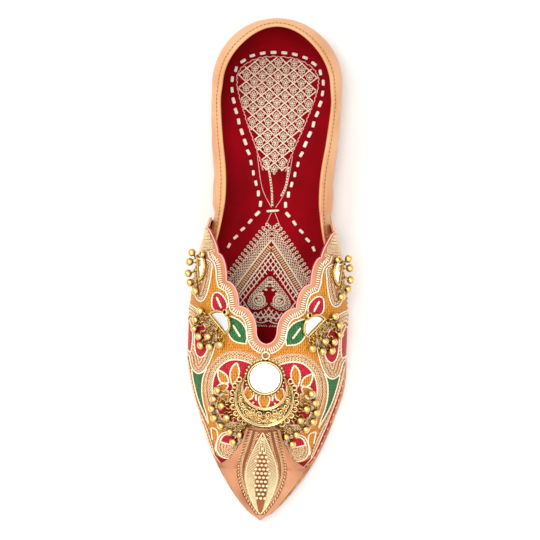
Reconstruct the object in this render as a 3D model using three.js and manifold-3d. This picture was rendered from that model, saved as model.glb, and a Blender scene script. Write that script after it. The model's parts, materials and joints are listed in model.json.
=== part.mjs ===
// Mojari shoe in millimetres: toe towards -Y, heel towards +Y, +Z up, standing on its sole.
// Both sides of the last are alike, so the shoe is symmetric about the plane X = 0.
import * as THREE from 'three';
import { mergeVertices } from 'three/addons/utils/BufferGeometryUtils.js';
import Module from 'manifold-3d';

const wasm = await Module();
wasm.setup();

// Driving sizes of the last
const LENGTH = 274; // heel back to toe tip
const BALL_WIDTH = 86.4;
const HEEL_WIDTH = 71;
const HEEL_ROOT = 36; // centre of the round heel, from its back
const COLLAR_RISE = 45; // back of the collar above the sole
const INSTEP_RISE = 42.3; // throat of the vamp above the sole
const TUCK = 1.5; // how far the walls draw in where they meet the sole

// Driving sizes of the pieces
const WALL = 1.9; // quarter leather with its lining
const VAMP_WALL = 1.5;
const CAP_WALL = 1.6;
const SOLE = 4;
const SOLE_BEVEL = 0.8;
const HEEL_LIFT = 7;
const HEEL_SET = 1.4; // the heel stands back from the sole's edge
const HEEL_TAPER = 1;
const TOE_SPRING = 9;
const INSOLE = 3;
const LINING_SET = 1; // the lining stops this far from the vamp's edge
const WING_SQUARE = 5; // how much squarer the wings are than the last, so that they stand off it
const WING_RAKE = 5; // the wing's back edge leans this far forward at the sole
const CAP_LIFT = 4.6; // free end of the toe cap above the vamp
const FIT = 0.3; // clearance between pieces that touch
const TOE_CURVE = 1.6; // exponent of the rise of the sole towards the toe
const LOBE_FALL = 1.4; // exponent of the first lobe of the topline
const TUCK_PARTS = 4; // a narrow rib draws in by at most one part of its reach in so many
const BEVEL_PARTS = 3; // a narrow rib is bevelled by at most one part of its reach in so many
const INSOLE_SHORT = 4; // the insole stops this many walls short of the toe

// Places along the shoe, from the back of the heel
const HEEL_BREAST = 0.226 * LENGTH;
const ARCH_END = 0.401 * LENGTH;
const SPRING_START = 0.748 * LENGTH;
const WING_STEP = 0.372 * LENGTH; // the quarter starts to duck under the vamp
const WING_TIP = 0.394 * LENGTH;
const WING_SHOULDER = 0.409 * LENGTH;
const THROAT = 0.646 * LENGTH;
const PENDANT_PLACE = 0.7533 * LENGTH; // centre of the crescent
const CAP_BACK = 0.814 * LENGTH; // free end of the toe cap
const CAP_LANDS = 0.869 * LENGTH; // the edges of the toe cap lie on the vamp from here
const CAP_FULL = 0.898 * LENGTH; // the toe cap reaches the sole
const VAMP_FRONT = 0.927 * LENGTH; // the vamp ends under the toe cap

// Sections of the last. turn: how far the rib has swung from straight back to square across,
// at: its place from the heel's root to the tip, heel and ball: shares of the two half widths that
// add up to its reach, collar and instep: shares of the two rises that add up to its crown,
// square: exponent of its curve, bulge: height of its widest line as a share of the crown,
// mouth: collar opening as a share of the reach, ledge: how far the sole stands out, in walls.
const SECTIONS = [
  { turn: 0, at: 0, heel: 1, ball: 0, collar: 1.373, instep: 0, square: 3, bulge: 0.14, mouth: 0.883, ledge: -0.6 },
  { turn: 0.5, at: 0, heel: 1, ball: 0, collar: 1.21, instep: 0, square: 3, bulge: 0.17, mouth: 0.83, ledge: -0.6 },
  { turn: 1, at: 0, heel: 1, ball: 0, collar: 1.05, instep: 0, square: 3, bulge: 0.185, mouth: 0.862, ledge: -0.6 },
  { turn: 1, at: 0.042, heel: 0.997, ball: 0, collar: 1.06, instep: 0, square: 3, bulge: 0.18, mouth: 0.889, ledge: -0.6 },
  { turn: 1, at: 0.126, heel: 0.975, ball: 0, collar: 0.97, instep: 0, square: 3, bulge: 0.2, mouth: 0.858, ledge: -0.7 },
  { turn: 1, at: 0.202, heel: 0.62, ball: 0.25, collar: 0.95, instep: 0, square: 3, bulge: 0.22, mouth: 0.832, ledge: -0.8 },
  { turn: 1, at: 0.26, heel: 0.4, ball: 0.43, collar: 0.8, instep: 0.2, square: 3, bulge: 0.23, mouth: 0.82, ledge: -0.8 },
  { turn: 1, at: 0.303, heel: 0.25, ball: 0.563, collar: 0.5, instep: 0.65, square: 3, bulge: 0.21, mouth: 0.837, ledge: -0.6 },
  { turn: 1, at: 0.345, heel: 0.12, ball: 0.729, collar: 0.2, instep: 1, square: 2.9, bulge: 0.21, mouth: 0.825, ledge: -0.5 },
  { turn: 1, at: 0.391, heel: 0, ball: 0.898, collar: 0, instep: 1.187, square: 2.6, bulge: 0.215, mouth: 0.83, ledge: -0.3 },
  { turn: 1, at: 0.471, heel: 0, ball: 0.975, collar: 0, instep: 1.123, square: 2.4, bulge: 0.225, mouth: 0.85, ledge: -0.2 },
  { turn: 1, at: 0.546, heel: 0, ball: 1, collar: 0, instep: 1.052, square: 2.3, bulge: 0.24, mouth: 0.87, ledge: -0.1 },
  { turn: 1, at: 0.622, heel: 0, ball: 0.995, collar: 0, instep: 0.955, square: 2.3, bulge: 0.25, mouth: 0.9, ledge: 0 },
  { turn: 1, at: 0.689, heel: 0, ball: 0.951, collar: 0, instep: 0.84, square: 2.3, bulge: 0.28, mouth: 0.9, ledge: 0.3 },
  { turn: 1, at: 0.748, heel: 0, ball: 0.859, collar: 0, instep: 0.735, square: 2.3, bulge: 0.3, mouth: 0.9, ledge: 0.5 },
  { turn: 1, at: 0.807, heel: 0, ball: 0.748, collar: 0, instep: 0.605, square: 2.25, bulge: 0.32, mouth: 0.9, ledge: 0.6 },
  { turn: 1, at: 0.866, heel: 0, ball: 0.609, collar: 0, instep: 0.46, square: 2.2, bulge: 0.34, mouth: 0.9, ledge: 0.7 },
  { turn: 1, at: 0.916, heel: 0, ball: 0.451, collar: 0, instep: 0.335, square: 2.2, bulge: 0.36, mouth: 0.9, ledge: 0.7 },
  { turn: 1, at: 0.958, heel: 0, ball: 0.282, collar: 0, instep: 0.24, square: 2.2, bulge: 0.38, mouth: 0.9, ledge: 0.6 },
  { turn: 1, at: 0.985, heel: 0, ball: 0.139, collar: 0, instep: 0.175, square: 2.2, bulge: 0.4, mouth: 0.9, ledge: 0.4 },
  { turn: 1, at: 1, heel: 0, ball: 0, collar: 0, instep: 0.13, square: 2.2, bulge: 0.4, mouth: 0.9, ledge: 0 },
];
const TIP = SECTIONS.length - 1;
const SIDE = 2; // from this row on the ribs stand square across

// Topline of the vamp from the wing to the throat. to: end of the lobe as a share of the length,
// half: half width there as a share of the ball's, curve: how the edge gets there in how many steps.
const LOBES = [
  { to: WING_TIP / LENGTH, half: 0.757, curve: 'straight', steps: 1 },
  { to: 0.416, half: 0.786, curve: 'straight', steps: 1 },
  { to: 0.471, half: 0.646, curve: 'falling', steps: 3 },
  { to: 0.525, half: 0.528, curve: 'round', steps: 4 },
  { to: 0.573, half: 0.361, curve: 'round', steps: 4 },
  { to: 0.62, half: 0.132, curve: 'round', steps: 4 },
  { to: THROAT / LENGTH, half: 0, curve: 'bowl', steps: 3 },
];
const WING_ROOT = LOBES[2].to * LENGTH; // the wing lies on the last from here

// Free edge of the toe cap. at: from its free end to where it reaches the sole, level: how far down
// the last it reaches there, from 1 on top through 0 at the widest line to -1 at the sole.
const CAP_EDGE = [
  { at: 0, level: 0.86 },
  { at: 0.34, level: 0.8 },
  { at: 0.57, level: 0.7 },
  { at: 0.76, level: 0.58 },
  { at: 0.88, level: 0.35 },
  { at: 0.93, level: 0.1 },
  { at: 0.97, level: -0.4 },
  { at: 1, level: -1 },
];

// Metalwork: radii, thicknesses and places in the pendant's own plane
const PENDANT = {
  beads: 10.9, bezel: 9.65, seat: 8.7, mirror: 8.4, base: 1.1, height: 2.4, bezelUp: 12,
  crescent: 16.2, hollow: 11.5, hollowUp: 6.6, plate: 1.2, loop: 2.6, hole: 1.5, loopUp: 24.6,
};
const CHARM = { radius: 7.3, past: 1.1, frame: 1, height: 2, mirror: 1.5, bead: 1.95 };
const BALL = 2.05;
const STEM = 0.45;
const CHAIN = 1; // thickness of the rings that the balls hang on
const CHAIN_FROM = -25; // the pendant's ring chain, in degrees from straight out towards the toe
const CHAIN_TO = 62;

// Charms of one side. across: share of the ball's half width, along: share of the length,
// swing: degrees from straight out to the way the flat side faces, bead: from there to the bead.
const CHARMS = [
  { name: 'upper', across: 0.824, along: 0.4964, swing: 8, bead: -141 },
  { name: 'lower', across: 0.551, along: 0.6004, swing: 42, bead: -170 },
];
// Balls of one side, from the middle of their charm or crescent, as shares of its radius
const BALLS = {
  upper: [
    { across: 0.97, along: -0.95 },
    { across: 1.1, along: -0.25 },
    { across: 1.18, along: 0.62 },
    { across: 1, along: 1.31 },
    { across: 0.55, along: 1.9 },
  ],
  lower: [
    { across: 1.73, along: -0.53 },
    { across: 2.07, along: 0.12 },
    { across: 2.14, along: 0.81 },
    { across: 1.74, along: 1.36 },
    { across: 1.07, along: 1.33 },
    { across: 1.59, along: 2.01 },
    { across: 0.93, along: 2.07 },
    { across: 0.16, along: 1.88 },
  ],
  pendant: [
    { across: 1.58, along: -0.2 },
    { across: 1.7, along: 0.1 },
    { across: 1.75, along: 0.43 },
    { across: 1.66, along: 0.74 },
    { across: 1.42, along: 0.31 },
    { across: 1.43, along: 1 },
    { across: 1.23, along: 0.7 },
    { across: 1.12, along: 1.19 },
    { across: 0.99, along: 1.52 },
    { across: 0.77, along: 1.28 },
  ],
};

// Steps of the meshes
const FOOT_LEVELS = [-1, -0.5, 0];
const WALL_STEPS = 5;
const FAN_ROWS = [0, 0.33, 0.67, 1, 1.33, 1.67, 2];
const QUARTER_PLACES = [0.168, 0.205, 0.241, 0.274, 0.307, 0.339, 0.366];
const THROAT_PLACES = [0.68, 0.725, 0.77];
const TIP_PLACES = [0.945, 0.963, 0.978, 0.99, 1];
const ARC_STEPS = 10;
const CHARM_STEPS = 8;
const ROD_SIDES = 3;
const BALL_STEPS = { around: 6, down: 4 };
const SKIN_MERGE = 0.002; // skin points closer than this are one
const SOLID_MERGE = 0.0005;
const NORMAL_STEP = 0.5; // distance over which the slope of the vamp is taken
const SEAT_LOWEST = 0.22; // a ball lies no lower on the last than this level
const SEAT_STEP = 0.01; // step of level over which the slope under a ball is taken
const SEAT_TURNS = 30;

const ballHalf = BALL_WIDTH / 2;
const quarterTurn = Math.PI / 2;
const sides = [
  { name: 'left', sign: -1 },
  { name: 'right', sign: 1 },
];

function ramp(value, from, to) {
  const share = THREE.MathUtils.clamp((value - from) / (to - from), 0, 1);
  return share * share * (3 - 2 * share);
}

// Value less a depth, which never passes zero however small the value is
function thinned(value, depth) {
  return value === 0 ? 0 : (value * value) / (value + depth);
}

// Distance between the rows of SECTIONS, with the swinging ribs of the heel spread along its arc
const fanStep = (HEEL_ROOT * quarterTurn) / SIDE / (LENGTH - HEEL_ROOT);
const spread = SECTIONS.map((section, index) => section.at - fanStep * Math.max(SIDE - index, 0));

function slope(name, index) {
  if (index === 0) return 0;
  const before = index - 1;
  const after = Math.min(index + 1, TIP);
  return (SECTIONS[after][name] - SECTIONS[before][name]) / (spread[after] - spread[before]);
}

// Smooth value of a column of SECTIONS between its rows
function smooth(name, row) {
  const low = Math.min(Math.floor(row), TIP - 1);
  const step = spread[low + 1] - spread[low];
  const t = row - low;
  const blend = t * t * (3 - 2 * t);
  const level = THREE.MathUtils.lerp(SECTIONS[low][name], SECTIONS[low + 1][name], blend);
  const start = t * (1 - t) * (1 - t) * step * slope(name, low);
  const end = t * t * (1 - t) * step * slope(name, low + 1);
  return level + start - end;
}

function straight(name, row) {
  const low = Math.min(Math.floor(row), TIP - 1);
  return THREE.MathUtils.lerp(SECTIONS[low][name], SECTIONS[low + 1][name], row - low);
}

// Row number of the square rib at a distance from the heel's back
function rowAt(along) {
  const at = THREE.MathUtils.clamp((along - HEEL_ROOT) / (LENGTH - HEEL_ROOT), 0, 1);
  let low = SIDE;
  while (low < TIP - 1 && SECTIONS[low + 1].at <= at) low += 1;
  return low + (at - SECTIONS[low].at) / (SECTIONS[low + 1].at - SECTIONS[low].at);
}

const alongOf = (row) => HEEL_ROOT + straight('at', row) * (LENGTH - HEEL_ROOT);

// Underside of the sole above the floor
function soleRise(along) {
  const heel = HEEL_LIFT * (1 - ramp(along, HEEL_BREAST, ARCH_END));
  const toe = Math.max(along - SPRING_START, 0) / (LENGTH - SPRING_START);
  return heel + TOE_SPRING * Math.pow(toe, TOE_CURVE);
}

const wallFoot = (along) => soleRise(along) + SOLE + FIT;

// Distance from a rib's root to the outline of the whole shoe
function outlineReach(row) {
  const half = (smooth('heel', row) * HEEL_WIDTH) / 2 + smooth('ball', row) * ballHalf;
  const angle = straight('turn', row) * quarterTurn;
  const across = HEEL_ROOT * Math.sin(angle);
  const back = half * Math.cos(angle);
  return row >= TIP ? 0 : (half * HEEL_ROOT) / Math.hypot(across, back);
}

const ledgeAt = (row) => smooth('ledge', row) * WALL;
const wallReach = (row) => Math.max(outlineReach(row) - Math.max(ledgeAt(row), 0), 0);
const soleReach = (row) => Math.max(outlineReach(row) + Math.min(ledgeAt(row), 0), 0);

function toWorld(across, along, height) {
  return new THREE.Vector3(across, LENGTH / 2 - along, height);
}

// Point on a rib, on the side of the sign, at a distance from its root and a height
function ribPoint(row, sign, distance, height, draw = 0) {
  const angle = straight('turn', row) * quarterTurn;
  const along = alongOf(row) - distance * Math.cos(angle) - draw;
  return toWorld(sign * distance * Math.sin(angle), along, height);
}

// How far a layer at a depth stops short of the outline's toe
function drawIn(row, depth) {
  return row > SIDE && depth > 0 ? (depth * depth) / (wallReach(row) + depth) : 0;
}

// Point of the last drawn in by a depth. level: -1 at the sole, 0 at the widest line, 1 on top
function skin({ row, sign, level, depth, squarer = 0 }) {
  const reach = thinned(wallReach(row), depth);
  const draw = drawIn(row, depth);
  const foot = wallFoot(alongOf(row) - draw);
  const rise = smooth('collar', row) * COLLAR_RISE + smooth('instep', row) * INSTEP_RISE;
  const widest = foot + smooth('bulge', row) * rise;
  const angle = Math.abs(level) * quarterTurn;
  if (level < 0) {
    const inward = Math.min(TUCK, reach / TUCK_PARTS) * (1 - Math.cos(angle));
    return ribPoint(row, sign, reach - inward, widest - (widest - foot) * Math.sin(angle), draw);
  }
  const power = 2 / (smooth('square', row) + squarer);
  const crown = foot + thinned(rise, depth);
  const distance = level >= 1 ? 0 : reach * Math.pow(Math.cos(angle), power);
  return ribPoint(row, sign, distance, widest + (crown - widest) * Math.pow(Math.sin(angle), power), draw);
}

// Level at which the skin has a half width
function levelOf({ row, depth, squarer = 0 }, half) {
  if (half <= 0) return 1;
  const share = Math.min(half / thinned(wallReach(row), depth), 1);
  const power = (smooth('square', row) + squarer) / 2;
  return Math.acos(Math.pow(share, power)) / quarterTurn;
}

// Share of a lobe's width still to go, at a share of its way
const lobeCurves = {
  straight: (t) => ({ way: t, left: 1 - t }),
  falling: (t) => ({ way: t, left: Math.pow(1 - t, LOBE_FALL) }),
  round: (t) => ({ way: 1 - Math.cos(t * quarterTurn), left: 1 - Math.sin(t * quarterTurn) }),
  bowl: (t) => ({ way: Math.sin(t * quarterTurn), left: Math.cos(t * quarterTurn) }),
};

// Edge of the vamp as a row of places with their half widths
function makeTopline() {
  const points = [{ along: LOBES[0].to * LENGTH, half: LOBES[0].half * ballHalf }];
  for (let index = 1; index < LOBES.length; index += 1) {
    const from = LOBES[index - 1];
    const lobe = LOBES[index];
    for (let step = 1; step <= lobe.steps; step += 1) {
      const { way, left } = lobeCurves[lobe.curve](step / lobe.steps);
      const along = THREE.MathUtils.lerp(from.to, lobe.to, way) * LENGTH;
      points.push({ along, half: THREE.MathUtils.lerp(lobe.half, from.half, left) * ballHalf });
    }
  }
  points[points.length - 1].half = 0;
  return points;
}
const topline = makeTopline();

// Depths of the layers below the outline of the last
const capPlaces = CAP_EDGE.map(({ at }) => THREE.MathUtils.lerp(CAP_BACK, CAP_FULL, at) / LENGTH);
const toePlaces = [...THROAT_PLACES, ...capPlaces];
const underCap = (along) => (CAP_WALL + FIT) * ramp(along, CAP_LANDS, CAP_FULL);
const underVamp = (along) => (VAMP_WALL + FIT) * ramp(along, WING_STEP, WING_TIP) + underCap(along);
const wingSquare = (along) => WING_SQUARE * Math.pow(1 - ramp(along, WING_SHOULDER, WING_ROOT), 3);

// Faces of a band between two rows of points, turned over on the side of negative sign
function stitch(faces, sign, low, high) {
  for (let index = 0; index + 1 < low.length; index += 1) {
    const [a, b, c, d] = [low[index], high[index], high[index + 1], low[index + 1]];
    if (sign > 0) faces.push([a, b, c], [a, c, d]);
    else faces.push([c, b, a], [d, c, a]);
  }
}

// Closed geometry from triangles of points, without the ones that have shrunk to a line
function closed(faces) {
  const places = new Float32Array(faces.flatMap((face) => face.flatMap((point) => point.toArray())));
  const loose = new THREE.BufferGeometry();
  loose.setAttribute('position', new THREE.BufferAttribute(places, 3));
  const merged = mergeVertices(loose, SKIN_MERGE);
  const source = merged.index.array;
  const kept = [];
  for (let index = 0; index < source.length; index += 3) {
    const [a, b, c] = source.slice(index, index + 3);
    if (a !== b && b !== c && a !== c) kept.push(a, b, c);
  }
  merged.setIndex(kept);
  return merged;
}

// Shell with a skin outside and a skin inside. Each rib has columns of points from its foot to its
// top on both sides; open ends are closed by a strip, and ribs that meet on top need none.
function shell(ribs, pointAt, openBack, openFront) {
  const faces = [];
  for (const { sign } of sides) {
    const outer = ribs.map((rib) => rib.levels.map((level) => pointAt(rib, sign, level, false)));
    const inner = ribs.map((rib) => rib.levels.map((level) => pointAt(rib, sign, level, true)));
    const rows = ribs[0].levels.length;
    for (let row = 0; row + 1 < rows; row += 1) {
      const at = (grid, index) => grid.map((points) => points[index]);
      stitch(faces, sign, at(outer, row), at(outer, row + 1));
      stitch(faces, -sign, at(inner, row), at(inner, row + 1));
    }
    const edge = (grid, index) => grid.map((points) => points.at(index));
    stitch(faces, -sign, edge(outer, 0), edge(inner, 0));
    const openTop = ribs.filter((rib) => rib.levels.at(-1) < 1).length;
    if (openTop > 0) {
      const length = Math.min(openTop + 1, ribs.length);
      stitch(faces, sign, edge(outer, -1).slice(0, length), edge(inner, -1).slice(0, length));
    }
    if (openBack) stitch(faces, sign, outer[0], inner[0]);
    if (openFront) stitch(faces, -sign, outer.at(-1), inner.at(-1));
  }
  return closed(faces);
}

// Levels of one rib from its foot to its top
function wallLevels(top) {
  const upper = Array.from({ length: WALL_STEPS }, (_, step) => (top * (step + 1)) / WALL_STEPS);
  return [...FOOT_LEVELS, ...upper];
}

function makeUpper() {
  const depthAt = (row) => (row > SIDE ? underVamp(alongOf(row)) : 0);
  const collarRows = [...FAN_ROWS, ...QUARTER_PLACES.map((place) => rowAt(place * LENGTH))];
  const ribs = collarRows.map((row) => ({ row, half: smooth('mouth', row) * outlineReach(row) }));
  for (const point of topline) {
    const row = rowAt(point.along);
    const lining = point.half > 0 ? point.half + LINING_SET : 0;
    ribs.push({ row, half: Math.min(lining, smooth('mouth', row) * outlineReach(row)) });
  }
  for (const place of [...toePlaces, VAMP_FRONT / LENGTH, ...TIP_PLACES]) {
    ribs.push({ row: rowAt(place * LENGTH), half: 0 });
  }
  for (const rib of ribs) rib.levels = wallLevels(levelOf({ row: rib.row, depth: depthAt(rib.row) }, rib.half));
  const pointAt = (rib, sign, level, inside) => {
    const depth = depthAt(rib.row) + (inside ? WALL : 0);
    return skin({ row: rib.row, sign, level, depth });
  };
  return shell(ribs, pointAt, false, false);
}

function makeVamp() {
  const rakeOf = (along, level) => {
    const fade = Math.max(1 - (along - WING_TIP) / (WING_ROOT - WING_TIP), 0);
    return WING_RAKE * fade * (1 - ramp(level, -1, 1));
  };
  const ribs = topline.map((point) => ({ ...point }));
  for (const place of toePlaces) ribs.push({ along: place * LENGTH, half: 0 });
  ribs.push({ along: VAMP_FRONT, half: 0 });
  for (const rib of ribs) {
    const depth = underCap(rib.along);
    const squarer = wingSquare(rib.along);
    rib.levels = wallLevels(levelOf({ row: rowAt(rib.along), depth, squarer }, rib.half));
  }
  const pointAt = (rib, sign, level, inside) => {
    const along = rib.along + rakeOf(rib.along, level);
    const depth = underCap(along) + (inside ? VAMP_WALL : 0);
    return skin({ row: rowAt(along), sign, level, depth, squarer: wingSquare(rib.along) });
  };
  return shell(ribs, pointAt, true, true);
}

function makeToeCap() {
  const ribs = CAP_EDGE.map(({ level }, index) => ({ along: capPlaces[index] * LENGTH, low: level }));
  for (const place of [VAMP_FRONT / LENGTH, ...TIP_PLACES]) ribs.push({ along: place * LENGTH, low: -1 });
  for (const rib of ribs) rib.levels = wallLevels(1).map((level) => Math.max(level, rib.low));
  const pointAt = (rib, sign, level, inside) => {
    const row = rowAt(rib.along);
    const depth = underCap(rib.along) - FIT - (inside ? 0 : CAP_WALL);
    const point = skin({ row, sign, level, depth });
    const edge = Math.abs(skin({ row, sign, level: Math.max(rib.low, 0), depth }).x);
    const out = edge > 0 ? ramp(Math.abs(point.x) / edge, 0.5, 1) : 1;
    const middle = 1 - ramp(rib.along, CAP_BACK, VAMP_FRONT);
    const flank = 1 - ramp(rib.along, CAP_BACK, CAP_LANDS);
    point.z += CAP_LIFT * THREE.MathUtils.lerp(middle, flank, out);
    return point;
  };
  return shell(ribs, pointAt, true, false);
}

// Solid slab between two heights that follow the shoe's length, with a bevelled lower edge
function slab({ rows, reachAt, lowAt, highAt, bevel, taper = 0, drawAt = () => 0, closedFront = false }) {
  const faces = [];
  for (const { sign } of sides) {
    const columns = rows.map((row) => {
      const draw = drawAt(row);
      const along = alongOf(row) - draw;
      const reach = reachAt(row);
      const cut = Math.min(bevel, reach / BEVEL_PARTS);
      const low = lowAt(along);
      const high = highAt(along);
      return [
        ribPoint(row, sign, 0, low, draw),
        ribPoint(row, sign, Math.max(reach - cut - taper, 0), low, draw),
        ribPoint(row, sign, Math.max(reach - taper, 0), low + (reach > 0 ? bevel : 0), draw),
        ribPoint(row, sign, reach, high, draw),
        ribPoint(row, sign, 0, high, draw),
      ];
    });
    for (let index = 0; index < 4; index += 1) {
      const at = (offset) => columns.map((points) => points[index + offset]);
      stitch(faces, sign, at(0), at(1));
    }
    if (closedFront) {
      const end = columns.at(-1);
      const fan = [[end[0], end[1], end[2]], [end[0], end[2], end[3]], [end[0], end[3], end[4]]];
      for (const face of fan) faces.push(sign < 0 ? face.reverse() : face);
    }
  }
  return closed(faces);
}

const solePlaces = [
  ...QUARTER_PLACES.slice(0, -1), 0.37, 0.401, 0.435, 0.471, 0.51, 0.55, 0.6, 0.65, 0.7, 0.748,
  ...capPlaces.slice(0, -1), VAMP_FRONT / LENGTH, ...TIP_PLACES,
];
const soleRows = [...FAN_ROWS, ...solePlaces.map((place) => rowAt(place * LENGTH))];

function makeOutsole() {
  return slab({
    rows: soleRows,
    reachAt: soleReach,
    lowAt: soleRise,
    highAt: (along) => soleRise(along) + SOLE,
    bevel: SOLE_BEVEL,
  });
}

function makeHeel() {
  const places = [0.168, 0.197, HEEL_BREAST / LENGTH];
  return slab({
    rows: [...FAN_ROWS, ...places.map((place) => rowAt(place * LENGTH))],
    reachAt: (row) => soleReach(row) - HEEL_SET,
    lowAt: () => 0,
    highAt: () => HEEL_LIFT - FIT,
    bevel: SOLE_BEVEL,
    taper: HEEL_TAPER,
    closedFront: true,
  });
}

function makeInsole() {
  const wallDepth = (row) => (row > SIDE ? underVamp(alongOf(row)) : 0) + WALL;
  const reachAt = (row) => {
    const inside = thinned(wallReach(row), wallDepth(row));
    return Math.max(inside - Math.min(TUCK, inside / TUCK_PARTS) - 2 * FIT, 0);
  };
  const end = LENGTH - INSOLE_SHORT * (WALL + VAMP_WALL);
  const rows = soleRows.filter((row) => alongOf(row) <= end);
  return slab({
    rows,
    reachAt,
    lowAt: wallFoot,
    highAt: (along) => wallFoot(along) + INSOLE,
    bevel: 0,
    drawAt: (row) => drawIn(row, wallDepth(row)),
    closedFront: true,
  });
}

// Top surface of the vamp above a place seen from above, with its upward normal
function vampTop(across, along) {
  const row = rowAt(along);
  const squarer = wingSquare(along);
  const level = levelOf({ row, depth: 0, squarer }, Math.max(Math.abs(across), 0.001));
  return skin({ row, sign: Math.sign(across) || 1, level, depth: 0, squarer });
}

function vampNormal(across, along) {
  const step = NORMAL_STEP;
  const slopeX = (vampTop(across + step, along).z - vampTop(across - step, along).z) / (2 * step);
  const slopeY = (vampTop(across, along - step).z - vampTop(across, along + step).z) / (2 * step);
  return new THREE.Vector3(-slopeX, -slopeY, 1).normalize();
}

// Centre of a ball that lies on the vamp, or hangs beside its flank
function ballSeat(across, along) {
  const row = rowAt(along);
  const sign = Math.sign(across);
  const away = BALL + FIT;
  let low = SEAT_LOWEST;
  let high = 1;
  let place = null;
  for (let turn = 0; turn < SEAT_TURNS; turn += 1) {
    const level = (low + high) / 2;
    const here = skin({ row, sign, level, depth: 0 });
    const next = skin({ row, sign, level: level + SEAT_STEP, depth: 0 });
    const normal = new THREE.Vector3(sign * (next.z - here.z), 0, sign * (here.x - next.x)).normalize();
    place = here.clone().addScaledVector(normal, away);
    if (Math.abs(place.x) > Math.abs(across)) low = level;
    else high = level;
  }
  place.x = across;
  return place;
}

// Solids for joining and back
function toSolid(geometry, matrix = null) {
  const plain = new THREE.BufferGeometry();
  plain.setAttribute('position', geometry.getAttribute('position').clone());
  if (geometry.index) plain.setIndex(geometry.index.clone());
  if (matrix) plain.applyMatrix4(matrix);
  const merged = mergeVertices(plain, SOLID_MERGE);
  const vertProperties = new Float32Array(merged.getAttribute('position').array);
  const triVerts = new Uint32Array(merged.index.array);
  return new wasm.Manifold(new wasm.Mesh({ numProp: 3, vertProperties, triVerts }));
}

function joined(solids) {
  const whole = solids.reduce((sum, solid) => sum.add(solid));
  const { vertProperties, triVerts } = whole.getMesh();
  const geometry = new THREE.BufferGeometry();
  geometry.setAttribute('position', new THREE.BufferAttribute(new Float32Array(vertProperties), 3));
  geometry.setIndex(new THREE.BufferAttribute(new Uint32Array(triVerts), 1));
  return geometry;
}

// Straight rod between two points
function rod(from, to, radius) {
  const geometry = new THREE.CylinderGeometry(radius, radius, from.distanceTo(to), ROD_SIDES);
  const along = to.clone().sub(from).normalize();
  const turn = new THREE.Quaternion().setFromUnitVectors(new THREE.Vector3(0, 1, 0), along);
  const middle = from.clone().add(to).multiplyScalar(0.5);
  return toSolid(geometry, new THREE.Matrix4().compose(middle, turn, new THREE.Vector3(1, 1, 1)));
}

function ball(center, radius) {
  const matrix = new THREE.Matrix4().makeTranslation(center.x, center.y, center.z);
  return toSolid(new THREE.SphereGeometry(radius, BALL_STEPS.around, BALL_STEPS.down), matrix);
}

function plate(shape, thickness, steps = ARC_STEPS) {
  return new THREE.ExtrudeGeometry(shape, { depth: thickness, bevelEnabled: false, curveSegments: steps });
}

function washer(outer, inner, thickness, steps) {
  const shape = new THREE.Shape().absarc(0, 0, outer, 0, 2 * Math.PI);
  shape.holes.push(new THREE.Path().absarc(0, 0, inner, 0, 2 * Math.PI, true));
  return plate(shape, thickness, steps);
}

// Plane of the pendant: it lies along the middle of the vamp, from its loop to its lowest edge
function pendantMatrix() {
  const backAlong = PENDANT_PLACE - PENDANT.loopUp;
  const frontAlong = PENDANT_PLACE + PENDANT.crescent;
  const back = vampTop(0, backAlong);
  const front = vampTop(0, frontAlong);
  const tilt = Math.atan2(back.z - front.z, frontAlong - backAlong);
  let lift = FIT;
  for (let along = backAlong; along < frontAlong; along += BALL) {
    const share = (along - backAlong) / (frontAlong - backAlong);
    const chord = THREE.MathUtils.lerp(back.z, front.z, share);
    lift = Math.max(lift, vampTop(0, along).z - chord + FIT);
  }
  const share = (PENDANT_PLACE - backAlong) / (frontAlong - backAlong);
  const center = toWorld(0, PENDANT_PLACE, THREE.MathUtils.lerp(back.z, front.z, share) + lift);
  return new THREE.Matrix4().makeRotationX(tilt).setPosition(center);
}
const pendantPlane = pendantMatrix();

function makePendant() {
  const { beads, bezel, seat, base, height, crescent, hollow, hollowUp, plate: thick } = PENDANT;
  const profile = [[seat, 0], [beads, 0], [beads, base], [bezel, base], [bezel, height], [seat, height], [seat, 0]];
  const ring = new THREE.LatheGeometry(profile.map(([r, z]) => new THREE.Vector2(r, z)), 2 * ARC_STEPS);
  const standing = new THREE.Matrix4().makeRotationX(quarterTurn).setPosition(0, PENDANT.bezelUp, 0);
  const moon = new THREE.Shape().absarc(0, 0, crescent, 0, 2 * Math.PI);
  const outer = toSolid(plate(moon, thick, 2 * ARC_STEPS));
  const cut = new THREE.Shape().absarc(0, hollowUp, hollow, 0, 2 * Math.PI);
  const lowered = new THREE.Matrix4().makeTranslation(0, 0, -thick);
  const crescentSolid = outer.subtract(toSolid(plate(cut, 3 * thick, 2 * ARC_STEPS), lowered));
  const seatHole = new THREE.Shape().absarc(0, PENDANT.bezelUp, seat, 0, 2 * Math.PI);
  const opened = crescentSolid.subtract(toSolid(plate(seatHole, 3 * thick, 2 * ARC_STEPS), lowered));
  const loop = washer(PENDANT.loop, PENDANT.hole, thick, ARC_STEPS);
  const loopPlace = new THREE.Matrix4().makeTranslation(0, PENDANT.loopUp, 0);
  return joined([opened, toSolid(ring, standing), toSolid(loop, loopPlace)]);
}

function makePendantMirror() {
  const { mirror, base } = PENDANT;
  const disc = new THREE.CylinderGeometry(mirror, mirror, base, 2 * ARC_STEPS);
  return disc.rotateX(quarterTurn).translate(0, PENDANT.bezelUp, base / 2 + FIT);
}

// Half moon with its flat side towards +X, its middle at the origin
function halfMoon(radius, past) {
  const open = Math.acos(past / radius);
  const center = (CHARM.radius - CHARM.past) / 2;
  return new THREE.Shape().absarc(center, 0, radius, open, 2 * Math.PI - open);
}

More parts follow.
